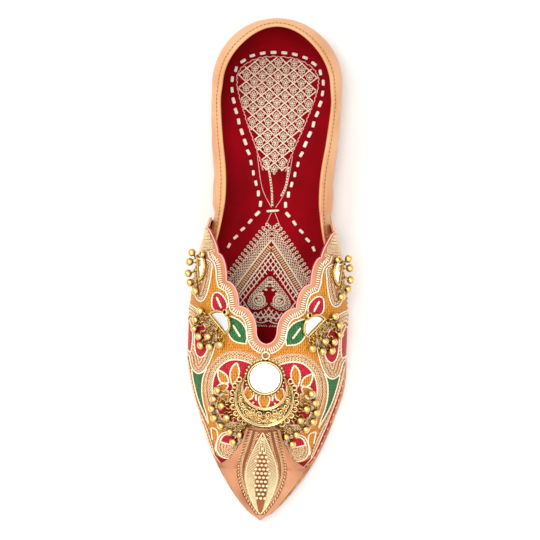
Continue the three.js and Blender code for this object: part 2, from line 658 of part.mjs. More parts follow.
function charmMatrix(charm, sign) {
  const across = sign * charm.across * ballHalf;
  const along = charm.along * LENGTH;
  const normal = vampNormal(across, along);
  const swing = THREE.MathUtils.degToRad(charm.swing);
  const out = new THREE.Vector3(sign * Math.cos(swing), -Math.sin(swing), 0);
  out.addScaledVector(normal, -out.dot(normal)).normalize();
  const side = normal.clone().cross(out);
  const center = vampTop(across, along).addScaledVector(normal, FIT);
  return new THREE.Matrix4().makeBasis(out, side, normal).setPosition(center);
}

function makeCharm(charm, sign) {
  const { radius, past, frame, height, bead } = CHARM;
  const shape = halfMoon(radius, past);
  shape.holes.push(halfMoon(radius - frame, past - frame));
  const turn = -sign * THREE.MathUtils.degToRad(charm.bead);
  const center = (radius - past) / 2;
  const away = radius + bead / 2;
  const beadCenter = new THREE.Vector3(center + away * Math.cos(turn), away * Math.sin(turn), bead);
  return joined([toSolid(plate(shape, height, CHARM_STEPS)), ball(beadCenter, bead)]);
}

function makeCharmMirror() {
  const { radius, past, frame, mirror } = CHARM;
  return plate(halfMoon(radius - frame - FIT, past - frame - FIT), mirror, CHARM_STEPS);
}

// Bunch of balls on their stems, hanging from a chain solid; anchorAt gives the chain's nearest point
function bunch(chain, balls, radius, middle, sign, anchorAt) {
  const solids = [chain];
  for (const { across, along } of balls) {
    const center = ballSeat(sign * (middle.across + across * radius), middle.along + along * radius);
    const anchor = anchorAt(center);
    solids.push(rod(anchor, center, STEM), ball(center, BALL));
  }
  return joined(solids);
}

function makeCharmBalls(charm, sign) {
  const matrix = charmMatrix(charm, sign);
  const back = matrix.clone().invert();
  const out = (CHARM.radius + CHARM.past) / 2 + FIT + CHAIN / 2;
  const half = CHARM.radius - CHAIN;
  const bar = new THREE.BoxGeometry(CHAIN, 2 * half, CHAIN).translate(out, 0, CHAIN);
  const anchorAt = (center) => {
    const local = center.clone().applyMatrix4(back);
    const reach = THREE.MathUtils.clamp(local.y, CHAIN / 2 - half, half - CHAIN / 2);
    return new THREE.Vector3(out, reach, CHAIN).applyMatrix4(matrix);
  };
  const middle = { across: charm.across * ballHalf, along: charm.along * LENGTH };
  return bunch(toSolid(bar, matrix), BALLS[charm.name], CHARM.radius, middle, sign, anchorAt);
}

function makePendantBalls(sign) {
  const back = pendantPlane.clone().invert();
  const radius = PENDANT.crescent + FIT + CHAIN / 2;
  const from = THREE.MathUtils.degToRad(CHAIN_FROM);
  const to = THREE.MathUtils.degToRad(CHAIN_TO);
  const shape = new THREE.Shape().absarc(0, 0, radius + CHAIN / 2, -to, -from);
  shape.absarc(0, 0, radius - CHAIN / 2, -from, -to, true);
  const chain = plate(shape, CHAIN, CHARM_STEPS);
  if (sign < 0) chain.rotateY(2 * quarterTurn).translate(0, 0, CHAIN);
  const anchorAt = (center) => {
    const local = center.clone().applyMatrix4(back);
    const turn = THREE.MathUtils.clamp(Math.atan2(-local.y, Math.abs(local.x)), from, to);
    const place = new THREE.Vector3(sign * radius * Math.cos(turn), -radius * Math.sin(turn), CHAIN / 2);
    return place.applyMatrix4(pendantPlane);
  };
  const middle = { across: 0, along: PENDANT_PLACE };
  return bunch(toSolid(chain, pendantPlane), BALLS.pendant, PENDANT.crescent, middle, sign, anchorAt);
}

const material = (color, roughness, metalness) => new THREE.MeshStandardMaterial({ color, roughness, metalness });
const materials = {
  sole: material('#b98556', 0.7, 0),
  quarter: material('#e3a46e', 0.55, 0),
  velvet: material('#7d0012', 0.95, 0),
  embroidery: material('#e8982a', 0.85, 0),
  cap: material('#b98a5e', 0.65, 0),
  metal: material('#d2a63c', 0.32, 1),
  mirror: material('#e9edef', 0.05, 1),
};

const shoe = new THREE.Group();

function add(parent, name, geometry, finish) {
  const mesh = new THREE.Mesh(geometry, finish);
  mesh.name = name;
  parent.add(mesh);
}

function placed(matrix) {
  const group = new THREE.Group();
  matrix.decompose(group.position, group.quaternion, group.scale);
  shoe.add(group);
  return group;
}

add(shoe, 'outsole', makeOutsole(), materials.sole);
add(shoe, 'heel', makeHeel(), materials.sole);
add(shoe, 'insole', makeInsole(), materials.velvet);
add(shoe, 'upper', makeUpper(), materials.quarter);
add(shoe, 'vamp', makeVamp(), materials.embroidery);
add(shoe, 'toe_cap', makeToeCap(), materials.cap);

const pendantGroup = placed(pendantPlane);
add(pendantGroup, 'pendant', makePendant(), materials.metal);
add(pendantGroup, 'pendant_mirror', makePendantMirror(), materials.mirror);

for (const { name: side, sign } of sides) {
  for (const charm of CHARMS) {
    const group = placed(charmMatrix(charm, sign));
    add(group, `charm_${charm.name}_${side}`, makeCharm(charm, sign), materials.metal);
    add(group, `charm_mirror_${charm.name}_${side}`, makeCharmMirror(), materials.mirror);
    add(shoe, `bells_${charm.name}_${side}`, makeCharmBalls(charm, sign), materials.metal);
  }
  add(shoe, `bells_pendant_${side}`, makePendantBalls(sign), materials.metal);
}

export default shoe;
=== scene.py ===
"""Mojari shoe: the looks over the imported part. Shapes are worked out in millimetres, in the part's
own frame (toe -Y, heel +Y, +Z up), and each piece is turned to metres as it is finished."""
import json
import math
import random
from collections import namedtuple
from functools import lru_cache

import bmesh
import bpy
import numpy as np
from mathutils import Matrix, Vector
from mathutils.kdtree import KDTree

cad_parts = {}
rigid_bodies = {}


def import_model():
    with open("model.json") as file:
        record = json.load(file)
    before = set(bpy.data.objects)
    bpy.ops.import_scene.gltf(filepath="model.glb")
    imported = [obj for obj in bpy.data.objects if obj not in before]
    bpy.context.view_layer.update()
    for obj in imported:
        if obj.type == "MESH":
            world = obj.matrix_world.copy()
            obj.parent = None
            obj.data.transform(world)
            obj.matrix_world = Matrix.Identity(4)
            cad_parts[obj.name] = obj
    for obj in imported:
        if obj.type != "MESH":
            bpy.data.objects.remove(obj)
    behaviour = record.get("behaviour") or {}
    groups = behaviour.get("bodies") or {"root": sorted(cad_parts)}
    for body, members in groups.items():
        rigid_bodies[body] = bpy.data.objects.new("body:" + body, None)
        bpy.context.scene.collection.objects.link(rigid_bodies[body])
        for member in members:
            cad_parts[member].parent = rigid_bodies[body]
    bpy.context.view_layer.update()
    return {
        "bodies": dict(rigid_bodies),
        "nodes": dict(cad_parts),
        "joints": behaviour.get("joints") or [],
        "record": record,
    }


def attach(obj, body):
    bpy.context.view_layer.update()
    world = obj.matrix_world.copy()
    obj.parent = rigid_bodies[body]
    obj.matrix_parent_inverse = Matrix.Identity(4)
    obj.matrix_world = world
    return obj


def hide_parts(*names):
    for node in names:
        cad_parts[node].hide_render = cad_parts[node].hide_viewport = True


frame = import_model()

MM = 0.001
QUARTER_TURN = math.pi / 2
SIDES = (-1, 1)

# Sizes of the last and its layers, as in the part
LENGTH = 274
BALL_HALF = 43.2
HEEL_HALF = 35.5
HEEL_ROOT = 36
COLLAR_RISE = 45
INSTEP_RISE = 42.3
TUCK = 1.5
WALL = 1.9
VAMP_WALL = 1.5
CAP_WALL = 1.6
SOLE = 4
HEEL_LIFT = 7
HEEL_SET = 1.4
TOE_SPRING = 9
INSOLE = 3
WING_SQUARE = 5
WING_RAKE = 5
CAP_LIFT = 4.6
FIT = 0.3

# Places from the back of the heel
HEEL_BREAST = 0.226 * LENGTH
ARCH_END = 0.401 * LENGTH
SPRING_START = 0.748 * LENGTH
WING_STEP = 0.372 * LENGTH
WING_TIP = 0.394 * LENGTH
WING_SHOULDER = 0.409 * LENGTH
WING_ROOT = 0.471 * LENGTH
THROAT = 0.646 * LENGTH
PENDANT_PLACE = 0.7533 * LENGTH
CAP_BACK = 0.814 * LENGTH
CAP_LANDS = 0.869 * LENGTH
CAP_FULL = 0.898 * LENGTH
VAMP_FRONT = 0.927 * LENGTH

COLUMNS = "turn at heel ball collar instep square bulge mouth ledge".split()
SECTIONS = [
    (0, 0, 1, 0, 1.373, 0, 3, 0.14, 0.883, -0.6),
    (0.5, 0, 1, 0, 1.21, 0, 3, 0.17, 0.83, -0.6),
    (1, 0, 1, 0, 1.05, 0, 3, 0.185, 0.862, -0.6),
    (1, 0.042, 0.997, 0, 1.06, 0, 3, 0.18, 0.889, -0.6),
    (1, 0.126, 0.975, 0, 0.97, 0, 3, 0.2, 0.858, -0.7),
    (1, 0.202, 0.62, 0.25, 0.95, 0, 3, 0.22, 0.832, -0.8),
    (1, 0.26, 0.4, 0.43, 0.8, 0.2, 3, 0.23, 0.82, -0.8),
    (1, 0.303, 0.25, 0.563, 0.5, 0.65, 3, 0.21, 0.837, -0.6),
    (1, 0.345, 0.12, 0.729, 0.2, 1, 2.9, 0.21, 0.825, -0.5),
    (1, 0.391, 0, 0.898, 0, 1.187, 2.6, 0.215, 0.83, -0.3),
    (1, 0.471, 0, 0.975, 0, 1.123, 2.4, 0.225, 0.85, -0.2),
    (1, 0.546, 0, 1, 0, 1.052, 2.3, 0.24, 0.87, -0.1),
    (1, 0.622, 0, 0.995, 0, 0.955, 2.3, 0.25, 0.9, 0),
    (1, 0.689, 0, 0.951, 0, 0.84, 2.3, 0.28, 0.9, 0.3),
    (1, 0.748, 0, 0.859, 0, 0.735, 2.3, 0.3, 0.9, 0.5),
    (1, 0.807, 0, 0.748, 0, 0.605, 2.25, 0.32, 0.9, 0.6),
    (1, 0.866, 0, 0.609, 0, 0.46, 2.2, 0.34, 0.9, 0.7),
    (1, 0.916, 0, 0.451, 0, 0.335, 2.2, 0.36, 0.9, 0.7),
    (1, 0.958, 0, 0.282, 0, 0.24, 2.2, 0.38, 0.9, 0.6),
    (1, 0.985, 0, 0.139, 0, 0.175, 2.2, 0.4, 0.9, 0.4),
    (1, 1, 0, 0, 0, 0.13, 2.2, 0.4, 0.9, 0),
]
SECTIONS = [dict(zip(COLUMNS, row)) for row in SECTIONS]
TIP = len(SECTIONS) - 1
SIDE = 2

# Lobes of the vamp's topline: end along the shoe, half width there as a share of the ball's, curve
LOBES = [
    (WING_TIP, 0.757, "straight"),
    (0.416 * LENGTH, 0.786, "straight"),
    (WING_ROOT, 0.646, "falling"),
    (0.525 * LENGTH, 0.528, "round"),
    (0.573 * LENGTH, 0.361, "round"),
    (0.62 * LENGTH, 0.132, "round"),
    (THROAT, 0, "bowl"),
]
CURVES = {
    "straight": lambda t: (t, 1 - t),
    "falling": lambda t: (t, (1 - t) ** 1.4),
    "round": lambda t: (1 - math.cos(t * QUARTER_TURN), 1 - math.sin(t * QUARTER_TURN)),
    "bowl": lambda t: (math.sin(t * QUARTER_TURN), math.cos(t * QUARTER_TURN)),
}
CAP_EDGE = [(0, 0.86), (0.34, 0.8), (0.57, 0.7), (0.76, 0.58), (0.88, 0.35), (0.93, 0.1), (0.97, -0.4),
            (1, -1)]


def ramp(value, start, end):
    t = min(max((value - start) / (end - start), 0.0), 1.0)
    return t * t * (3 - 2 * t)


def mix(a, b, t):
    return a + (b - a) * t


def thinned(value, depth):
    if depth < 0:
        return value - depth
    return value * value / (value + depth) if value else 0.0


fan_step = (HEEL_ROOT * QUARTER_TURN) / SIDE / (LENGTH - HEEL_ROOT)
spread = [section["at"] - fan_step * max(SIDE - index, 0) for index, section in enumerate(SECTIONS)]


def slope(name, index):
    if index == 0:
        return 0.0
    after = min(index + 1, TIP)
    return (SECTIONS[after][name] - SECTIONS[index - 1][name]) / (spread[after] - spread[index - 1])


def smooth(name, row):
    low = min(int(row), TIP - 1)
    step = spread[low + 1] - spread[low]
    t = row - low
    level = mix(SECTIONS[low][name], SECTIONS[low + 1][name], t * t * (3 - 2 * t))
    start = t * (1 - t) * (1 - t) * step * slope(name, low)
    end = t * t * (1 - t) * step * slope(name, low + 1)
    return level + start - end


def straight(name, row):
    low = min(int(row), TIP - 1)
    return mix(SECTIONS[low][name], SECTIONS[low + 1][name], row - low)


@lru_cache(maxsize=None)
def row_at(along):
    at = min(max((along - HEEL_ROOT) / (LENGTH - HEEL_ROOT), 0.0), 1.0)
    low = SIDE
    while low < TIP - 1 and SECTIONS[low + 1]["at"] <= at:
        low += 1
    return low + (at - SECTIONS[low]["at"]) / (SECTIONS[low + 1]["at"] - SECTIONS[low]["at"])


def sole_rise(along):
    heel = HEEL_LIFT * (1 - ramp(along, HEEL_BREAST, ARCH_END))
    toe = max(along - SPRING_START, 0) / (LENGTH - SPRING_START)
    return heel + TOE_SPRING * toe**1.6


def wall_foot(along):
    return sole_rise(along) + SOLE + FIT


Rib = namedtuple("Rib", "along sine cosine wall sole mouth rise bulge square")


@lru_cache(maxsize=None)
def rib(row):
    half = smooth("heel", row) * HEEL_HALF + smooth("ball", row) * BALL_HALF
    angle = straight("turn", row) * QUARTER_TURN
    sine, cosine = math.sin(angle), math.cos(angle)
    outline = 0.0 if row >= TIP else half * HEEL_ROOT / math.hypot(HEEL_ROOT * sine, half * cosine)
    ledge = smooth("ledge", row) * WALL
    return Rib(
        HEEL_ROOT + straight("at", row) * (LENGTH - HEEL_ROOT), sine, cosine,
        max(outline - max(ledge, 0), 0.0), max(outline + min(ledge, 0), 0.0),
        smooth("mouth", row) * outline,
        smooth("collar", row) * COLLAR_RISE + smooth("instep", row) * INSTEP_RISE,
        smooth("bulge", row), smooth("square", row),
    )


def rib_point(row, sign, distance, height, draw=0.0):
    r = rib(row)
    return Vector((sign * distance * r.sine, LENGTH / 2 - r.along + distance * r.cosine + draw, height))


def skin(row, sign, level, depth=0.0, squarer=0.0):
    """Point of the last drawn in by a depth: level -1 at the sole, 0 at the widest line, 1 on top."""
    r = rib(row)
    reach = thinned(r.wall, depth)
    draw = depth * depth / (r.wall + depth) if row > SIDE and depth > 0 else 0.0
    foot = wall_foot(r.along - draw)
    widest = foot + r.bulge * r.rise
    angle = abs(level) * QUARTER_TURN
    if level < 0:
        inward = min(TUCK, reach / 4) * (1 - math.cos(angle))
        return rib_point(row, sign, reach - inward, widest - (widest - foot) * math.sin(angle), draw)
    power = 2 / (r.square + squarer)
    crown = foot + thinned(r.rise, depth)
    distance = 0.0 if level >= 1 else reach * math.cos(angle) ** power
    return rib_point(row, sign, distance, widest + (crown - widest) * math.sin(angle) ** power, draw)


def level_of(row, half, depth=0.0, squarer=0.0):
    if half <= 0:
        return 1.0
    r = rib(row)
    share = min(half / max(thinned(r.wall, depth), 0.01), 1.0)
    return math.acos(share ** ((r.square + squarer) / 2)) / QUARTER_TURN


def under_cap(along):
    return (CAP_WALL + FIT) * ramp(along, CAP_LANDS, CAP_FULL)


def under_vamp(along):
    return (VAMP_WALL + FIT) * ramp(along, WING_STEP, WING_TIP) + under_cap(along)


def wing_square(along):
    return WING_SQUARE * (1 - ramp(along, WING_SHOULDER, WING_ROOT)) ** 3


def make_topline(steps):
    points = [(LOBES[0][0], LOBES[0][1] * BALL_HALF)]
    for (start, before, _), (end, after, kind) in zip(LOBES, LOBES[1:]):
        for step in range(1, steps + 1):
            way, left = CURVES[kind](step / steps)
            points.append((mix(start, end, way), mix(after, before, left) * BALL_HALF))
    points[-1] = (THROAT, 0.0)
    return points


topline = make_topline(16)


# Surfaces that carry the embroidery. Across is seen from above, and runs on down the flank past
# the widest line, so that a pattern drawn from above goes on down the side.
def on_vamp(across, along, lift=0.0):
    row = row_at(along)
    depth, squarer = under_cap(along), wing_square(along)
    r = rib(row)
    reach = thinned(r.wall, depth)
    past = abs(across) - reach
    if past > 0:
        level = -math.asin(min(past / max(r.bulge * r.rise, 0.1), 0.97)) / QUARTER_TURN
    else:
        level = level_of(row, abs(across), depth, squarer)
    return skin(row, -1 if across < 0 else 1, level, depth - lift, squarer)


def on_insole(across, along, lift=0.0):
    return Vector((across, LENGTH / 2 - along, wall_foot(along) + INSOLE + lift))


def on_cap(across, along, lift=0.0):
    row = row_at(along)
    level = level_of(row, abs(across), 0.0)
    return cap_skin(along, -1 if across < 0 else 1, level, lift)


def cap_low(along):
    share = (along - CAP_BACK) / (CAP_FULL - CAP_BACK)
    places, levels = zip(*CAP_EDGE)
    return float(np.interp(share, places, levels))


def cap_skin(along, sign, level, lift=0.0):
    row = row_at(along)
    depth = max(under_cap(along) - FIT - CAP_WALL, -CAP_WALL - FIT) - lift
    point = skin(row, sign, level, depth)
    edge = abs(skin(row, sign, max(cap_low(along), 0.0), depth).x)
    out = ramp(abs(point.x) / edge, 0.5, 1) if edge > 0 else 1.0
    middle = 1 - ramp(along, CAP_BACK, VAMP_FRONT)
    flank = 1 - ramp(along, CAP_BACK, CAP_LANDS)
    point.z += CAP_LIFT * mix(middle, flank, out)
    return point


# Lines drawn on the surfaces
def curve(points, closed=False, step=0.8):
    """Even points along a smooth line through the given ones. A point given twice is a corner."""
    count = len(points)
    spans = range(count if closed else count - 1)
    at = (lambda i: points[i % count]) if closed else (lambda i: points[min(max(i, 0), count - 1)])
    line = []
    for i in spans:
        before, start, end, after = (np.array(at(i + k), float) for k in (-1, 0, 1, 2))
        if np.allclose(start, end):
            continue
        for t in np.linspace(0, 1, 9)[:-1]:
            bend = (2 * before - 5 * start + 4 * end - after) * t * t
            twist = (3 * start - before - 3 * end + after) * t**3
            line.append(0.5 * (2 * start + (end - before) * t + bend + twist))
    if not closed:
        line.append(np.array(points[-1], float))
    else:
        line.append(line[0])
    return even(np.array(line), step)


def even(line, step):
    gaps = np.linalg.norm(np.diff(line, axis=0), axis=1)
    run = np.concatenate([[0], np.cumsum(gaps)])
    count = max(int(round(run[-1] / step)), 2)
    stations = np.linspace(0, run[-1], count + 1)
    return np.stack([np.interp(stations, run, line[:, axis]) for axis in range(line.shape[1])], axis=1)


def shifted(line, distance):
    """The line moved sideways by a distance, without the parts that come too close to it."""
    tangent = np.gradient(line, axis=0)
    normal = np.stack([-tangent[:, 1], tangent[:, 0]], axis=1)
    normal /= np.maximum(np.linalg.norm(normal, axis=1, keepdims=True), 1e-9)
    moved = line + normal * distance
    return moved, away(moved, line) > abs(distance) * 0.93


def away(points, line):
    best = np.full(len(points), 1e9)
    for start, end in zip(line[:-1], line[1:]):
        run = end - start
        t = np.clip(((points - start) @ run) / max(run @ run, 1e-12), 0, 1)
        best = np.minimum(best, np.linalg.norm(points - (start + t[:, None] * run), axis=1))
    return best


def inside(points, polygon):
    hit = np.zeros(len(points), bool)
    x, y = points[:, 0], points[:, 1]
    for (x1, y1), (x2, y2) in zip(polygon, np.roll(polygon, -1, axis=0)):
        if y1 != y2:
            hit ^= ((y1 > y) != (y2 > y)) & (x < (x2 - x1) * (y - y1) / (y2 - y1) + x1)
    return hit


# Meshes
def sheet(bm, columns, rows, place):
    """A grid whose point in column i and row j lies at place(i, j)."""
    for vert in bmesh.ops.create_grid(bm, x_segments=columns - 1, y_segments=rows - 1, size=0.5)["verts"]:
        vert.co = place(round((vert.co.x + 0.5) * (columns - 1)), round((vert.co.y + 0.5) * (rows - 1)))


def tube(bm, points, radius, sides=5, lobes=0.0, pitch=1.0):
    """Round cord along points. Lobes and pitch give it the bumps of a twisted one."""
    points = [Vector(p) for p in points]
    last = len(points) - 1
    frames, run = [], 0.0
    for index, point in enumerate(points):
        tangent = (points[min(index + 1, last)] - points[max(index - 1, 0)]).normalized()
        side = tangent.cross(Vector((0, 0, 1)))
        side = side.normalized() if side.length > 1e-6 else Vector((1, 0, 0))
        run += (point - points[index - 1]).length if index else 0.0
        frames.append((point, side, side.cross(tangent), run))

    def place(i, j):
        point, out, above, length = frames[j]
        angle = 2 * math.pi * (i % sides) / sides
        size = radius * (1 + lobes * math.cos(2 * angle - 2 * math.pi * length / pitch))
        # Both ends are drawn to a point, which closes them
        if j in (0, last):
            size *= 0.02
        return point + out * (size * math.cos(angle)) + above * (size * math.sin(angle))

    sheet(bm, sides + 1, len(points), place)


def unit(build):
    """A small mesh that lay() sets down many times."""
    bm = bmesh.new()
    build(bm)
    mesh = bpy.data.meshes.new("unit")
    bm.to_mesh(mesh)
    bm.free()
    return mesh


def lay(bm, mesh, matrix):
    copy = mesh.copy()
    copy.transform(matrix)
    bm.from_mesh(copy)
    bpy.data.meshes.remove(copy)


def set_down(bm, mesh, place, size, plane=Matrix()):
    """Lays a mesh at a place of a plane, stretched by a size."""
    lay(bm, mesh, plane @ Matrix.Translation(place) @ Matrix.Diagonal((*size, 1)))


def polar(radius, angle):
    return radius * math.cos(angle), radius * math.sin(angle)


def basis(along, normal, place, scale=1.0):
    """The frame of a thing that lies along a direction on a surface with that normal."""
    x = along.normalized()
    y = normal.cross(x).normalized()
    z = x.cross(y)
    turn = Matrix((x, y, z)).transposed().to_4x4()
    return Matrix.Translation(place) @ turn @ Matrix.Scale(scale, 4)


def ring_shape(bm, radius, thick, steps=10, sides=4, stretch=1.0):
    start = bmesh.ops.create_circle(bm, segments=sides, radius=thick)["verts"]
    bmesh.ops.rotate(bm, verts=start, matrix=Matrix.Rotation(QUARTER_TURN, 3, "X"))
    bmesh.ops.translate(bm, verts=start, vec=(radius, 0, 0))
    bmesh.ops.spin(bm, geom=start + bm.edges[:], axis=(0, 0, 1), cent=(0, 0, 0), steps=steps,
                   angle=math.tau,
                   use_merge=True)
    bmesh.ops.scale(bm, verts=bm.verts, vec=(stretch, 1, 1))


def finished(name, bm, finishes, nodes=(), merge=1e-4, turn_out=True):
    """Turns a bmesh in millimetres into a piece in metres that rides on the shoe."""
    if merge:
        bmesh.ops.remove_doubles(bm, verts=bm.verts, dist=merge)
    if turn_out:
        bmesh.ops.recalc_face_normals(bm, faces=bm.faces)
    bmesh.ops.scale(bm, verts=bm.verts, vec=(MM, MM, MM))
    mesh = bpy.data.meshes.new(name)
    bm.to_mesh(mesh)
    bm.free()
    mesh.polygons.foreach_set("use_smooth", [True] * len(mesh.polygons))
    for finish in finishes if isinstance(finishes, (list, tuple)) else [finishes]:
        mesh.materials.append(finish)
    piece = bpy.data.objects.new(name, mesh)
    bpy.context.scene.collection.objects.link(piece)
    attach(piece, "root")
    if nodes:
        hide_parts(*nodes)
    return piece


def mirrored(bm):
    geom = bm.verts[:] + bm.edges[:] + bm.faces[:]
    bmesh.ops.mirror(bm, geom=geom, axis="X", merge_dist=0)
    bmesh.ops.remove_doubles(bm, verts=bm.verts, dist=1e-3)
    bmesh.ops.recalc_face_normals(bm, faces=bm.faces)


# Materials
def linear(code):
    parts = [int(code[i : i + 2], 16) / 255 for i in (1, 3, 5)]
    return tuple(c / 12.92 if c <= 0.04045 else ((c + 0.055) / 1.055) ** 2.4 for c in parts) + (1.0,)


def connect(tree, made, inputs):
    """Sets a node's inputs: to a socket, to another node's first output, or to a value."""
    for name, value in inputs.items():
        source = value.outputs[0] if isinstance(value, bpy.types.Node) else value
        if isinstance(source, bpy.types.NodeSocket):
            tree.links.new(source, made.inputs[name])
        else:
            made.inputs[name].default_value = source


def node(tree, kind, inputs=None, stops=(), **settings):
    made = tree.nodes.new(kind)
    for name, value in settings.items():
        setattr(made, name, value)
    for index, (place, code) in enumerate(stops):
        elements = made.color_ramp.elements
        stop = elements[index] if index < 2 else elements.new(place)
        stop.position, stop.color = place, linear(code)
    connect(tree, made, inputs or {})
    return made


def new_material(name, **sockets):
    material = bpy.data.materials.new(name)
    material.use_nodes = True
    tree = material.node_tree
    shader = tree.nodes["Principled BSDF"]
    connect(tree, shader, {socket.replace("_", " "): value for socket, value in sockets.items()})
    place = node(tree, "ShaderNodeTexCoord").outputs["Object"]
    return material, tree, shader, place


def per_metre(millimetres):
    """Noise or wave scale whose pattern repeats about once in so many millimetres."""
    return 1 / (millimetres * MM)


def calf_leather(name, light, middle, dark, roughness=0.55):
    # Vegetable-tanned calf, dyed and rubbed by hand: warm even tan with fine pores, a little darker
    # where it was handled
    material, tree, shader, place = new_material(name, Roughness=roughness, Specular_IOR_Level=0.35)
    clouds = node(tree, "ShaderNodeTexNoise", {"Vector": place, "Scale": per_metre(22), "Detail": 4.0})
    grain = node(tree, "ShaderNodeTexVoronoi", {"Vector": place, "Scale": per_metre(0.9)},
                 feature="DISTANCE_TO_EDGE")
    pores = node(tree, "ShaderNodeTexNoise", {"Vector": place, "Scale": per_metre(0.5), "Detail": 3.0})
    colour = node(tree, "ShaderNodeValToRGB", {"Fac": clouds}, [(0.3, dark), (0.5, middle), (0.72, light)])
    creased = node(tree, "ShaderNodeBump", {"Height": grain, "Strength": 0.15, "Distance": 0.00015})
    fine = node(tree, "ShaderNodeBump",
                {"Height": pores, "Strength": 0.15, "Distance": 0.0002, "Normal": creased})
    connect(tree, shader, {"Base Color": colour, "Normal": fine})
    return material


def velvet(name, light, middle, dark):
    # Cotton velvet with a short cut pile: deep wine red, a shade lighter where the pile is brushed over
    material, tree, shader, place = new_material(name, Roughness=0.95, Sheen_Weight=0.35,
                                                 Sheen_Roughness=0.35,
                                                 Sheen_Tint=linear("#E0405A"), Specular_IOR_Level=0.15)
    brushed = node(tree, "ShaderNodeTexNoise",
                   {"Vector": place, "Scale": per_metre(26), "Detail": 4.0, "Roughness": 0.55})
    pile = node(tree, "ShaderNodeTexNoise", {"Vector": place, "Scale": per_metre(0.4), "Detail": 2.0})
    colour = node(tree, "ShaderNodeValToRGB", {"Fac": brushed},
                  [(0.28, dark), (0.52, middle), (0.78, light)])
    soft = node(tree, "ShaderNodeBump", {"Height": pile, "Strength": 0.4, "Distance": 0.0003})
    connect(tree, shader, {"Base Color": colour, "Normal": soft})
    return material


def satin_silk(name, light, middle, dark):
    # Untwisted silk floss laid in short upright stitches: bright bars with dark needle holes between
    # their ends
    material, tree, shader, _ = new_material(name, Roughness=0.55, Specular_IOR_Level=0.3)
    thread = node(tree, "ShaderNodeUVMap", uv_map="thread")
    wander = node(tree, "ShaderNodeTexNoise", {"Vector": thread, "Scale": 0.25, "Detail": 2.0})
    bent = node(tree, "ShaderNodeVectorMath", {0: thread, 1: wander.outputs["Color"]}, operation="ADD")
    # Stitches 3 mm long in rows 1 mm wide, coarser than real floss so that they show
    rows = node(tree, "ShaderNodeTexBrick", {
        "Vector": bent, "Color1": linear(light), "Color2": linear(middle), "Mortar": linear(dark),
        "Scale": 1.0, "Mortar Size": 0.14, "Mortar Smooth": 0.6, "Bias": 0.0, "Brick Width": 3.0,
        "Row Height": 1.0,
    })
    drawn = node(tree, "ShaderNodeMapping", {"Vector": thread, "Scale": (0.35, 3.0, 1.0)})
    strands = node(tree, "ShaderNodeTexNoise", {"Vector": drawn, "Scale": 1.0, "Detail": 2.0})
    shade = node(tree, "ShaderNodeValToRGB", {"Fac": strands}, [(0.3, "#C4C4C4"), (0.6, "#FFFFFF")])
    colour = node(tree, "ShaderNodeMixRGB", {"Fac": 0.9, "Color1": rows, "Color2": shade},
                  blend_type="MULTIPLY")
    raised = node(tree, "ShaderNodeMath", {0: 1.0, 1: rows.outputs["Fac"]}, operation="SUBTRACT")
    plump = node(tree, "ShaderNodeBump", {"Height": raised, "Strength": 0.8, "Distance": 0.0005})
    connect(tree, shader, {"Base Color": colour, "Normal": plump})
    return material


def spun_thread(name, light, middle, dark, roughness=0.5, metal=0.0):
    # Thread laid by hand, cotton or gilt strip wound on cotton, with a random tone. Light on its crowns and
    # darker in the twist, where it dips and beside other threads: painted shade from the ambient occlusion
    material, tree, shader, place = new_material(name, Roughness=roughness, Metallic=metal)
    tone = node(tree, "ShaderNodeTexNoise", {"Vector": place, "Scale": per_metre(1.6), "Detail": 3.0})
    # Painted shade: ambient occlusion darkens the colour in the twist, where the thread dips and beside other
    # threads
    crown = node(tree, "ShaderNodeAmbientOcclusion", {"Distance": 0.0008}, samples=6)
    total = node(tree, "ShaderNodeMath", {0: tone, 1: 0.55, 2: -0.28}, operation="MULTIPLY_ADD")
    lit = node(tree, "ShaderNodeMath", {0: crown.outputs["AO"], 1: total}, operation="ADD")
    colour = node(tree, "ShaderNodeValToRGB", {"Fac": lit}, [(0.25, dark), (0.52, middle), (0.85, light)])
    fibre = node(tree, "ShaderNodeTexNoise", {"Vector": place, "Scale": per_metre(0.35), "Detail": 2.0})
    rough = node(tree, "ShaderNodeBump", {"Height": fibre, "Strength": 0.4, "Distance": 0.0002})
    connect(tree, shader, {"Base Color": colour, "Normal": rough})
    return material


def antique_brass(name, light, middle, dark, reach=0.0012):
    # Cast brass, gilt and then darkened, with a random patina. Bright on exposed parts and brown in the
    # hollows and near other parts, from the ambient occlusion: partly the patina of the hollows, partly
    # painted shade
    material, tree, shader, place = new_material(name, Metallic=1.0)
    patina = node(tree, "ShaderNodeTexNoise",
                  {"Vector": place, "Scale": per_metre(4), "Detail": 5.0, "Roughness": 0.6})
    # Ambient occlusion: darker in the hollows and near other parts, partly patina and partly painted shade
    hollows_patina_and_shade = node(tree, "ShaderNodeAmbientOcclusion", {"Distance": reach}, samples=8)
    tone = node(tree, "ShaderNodeMath", {0: patina, 1: 0.4, 2: -0.2}, operation="MULTIPLY_ADD")
    total = node(tree, "ShaderNodeMath", {0: hollows_patina_and_shade.outputs["AO"], 1: tone}, operation="ADD")
    colour = node(tree, "ShaderNodeValToRGB", {"Fac": total}, [(0.35, dark), (0.7, middle), (0.97, light)])
    dents = node(tree, "ShaderNodeTexNoise", {"Vector": place, "Scale": per_metre(0.8), "Detail": 3.0})
    rough = node(tree, "ShaderNodeMapRange", {"Value": patina, "To Min": 0.2, "To Max": 0.38})
    worn = node(tree, "ShaderNodeBump", {"Height": dents, "Strength": 0.15, "Distance": 0.0002})
    connect(tree, shader, {"Base Color": colour, "Roughness": rough, "Normal": worn})
    return material


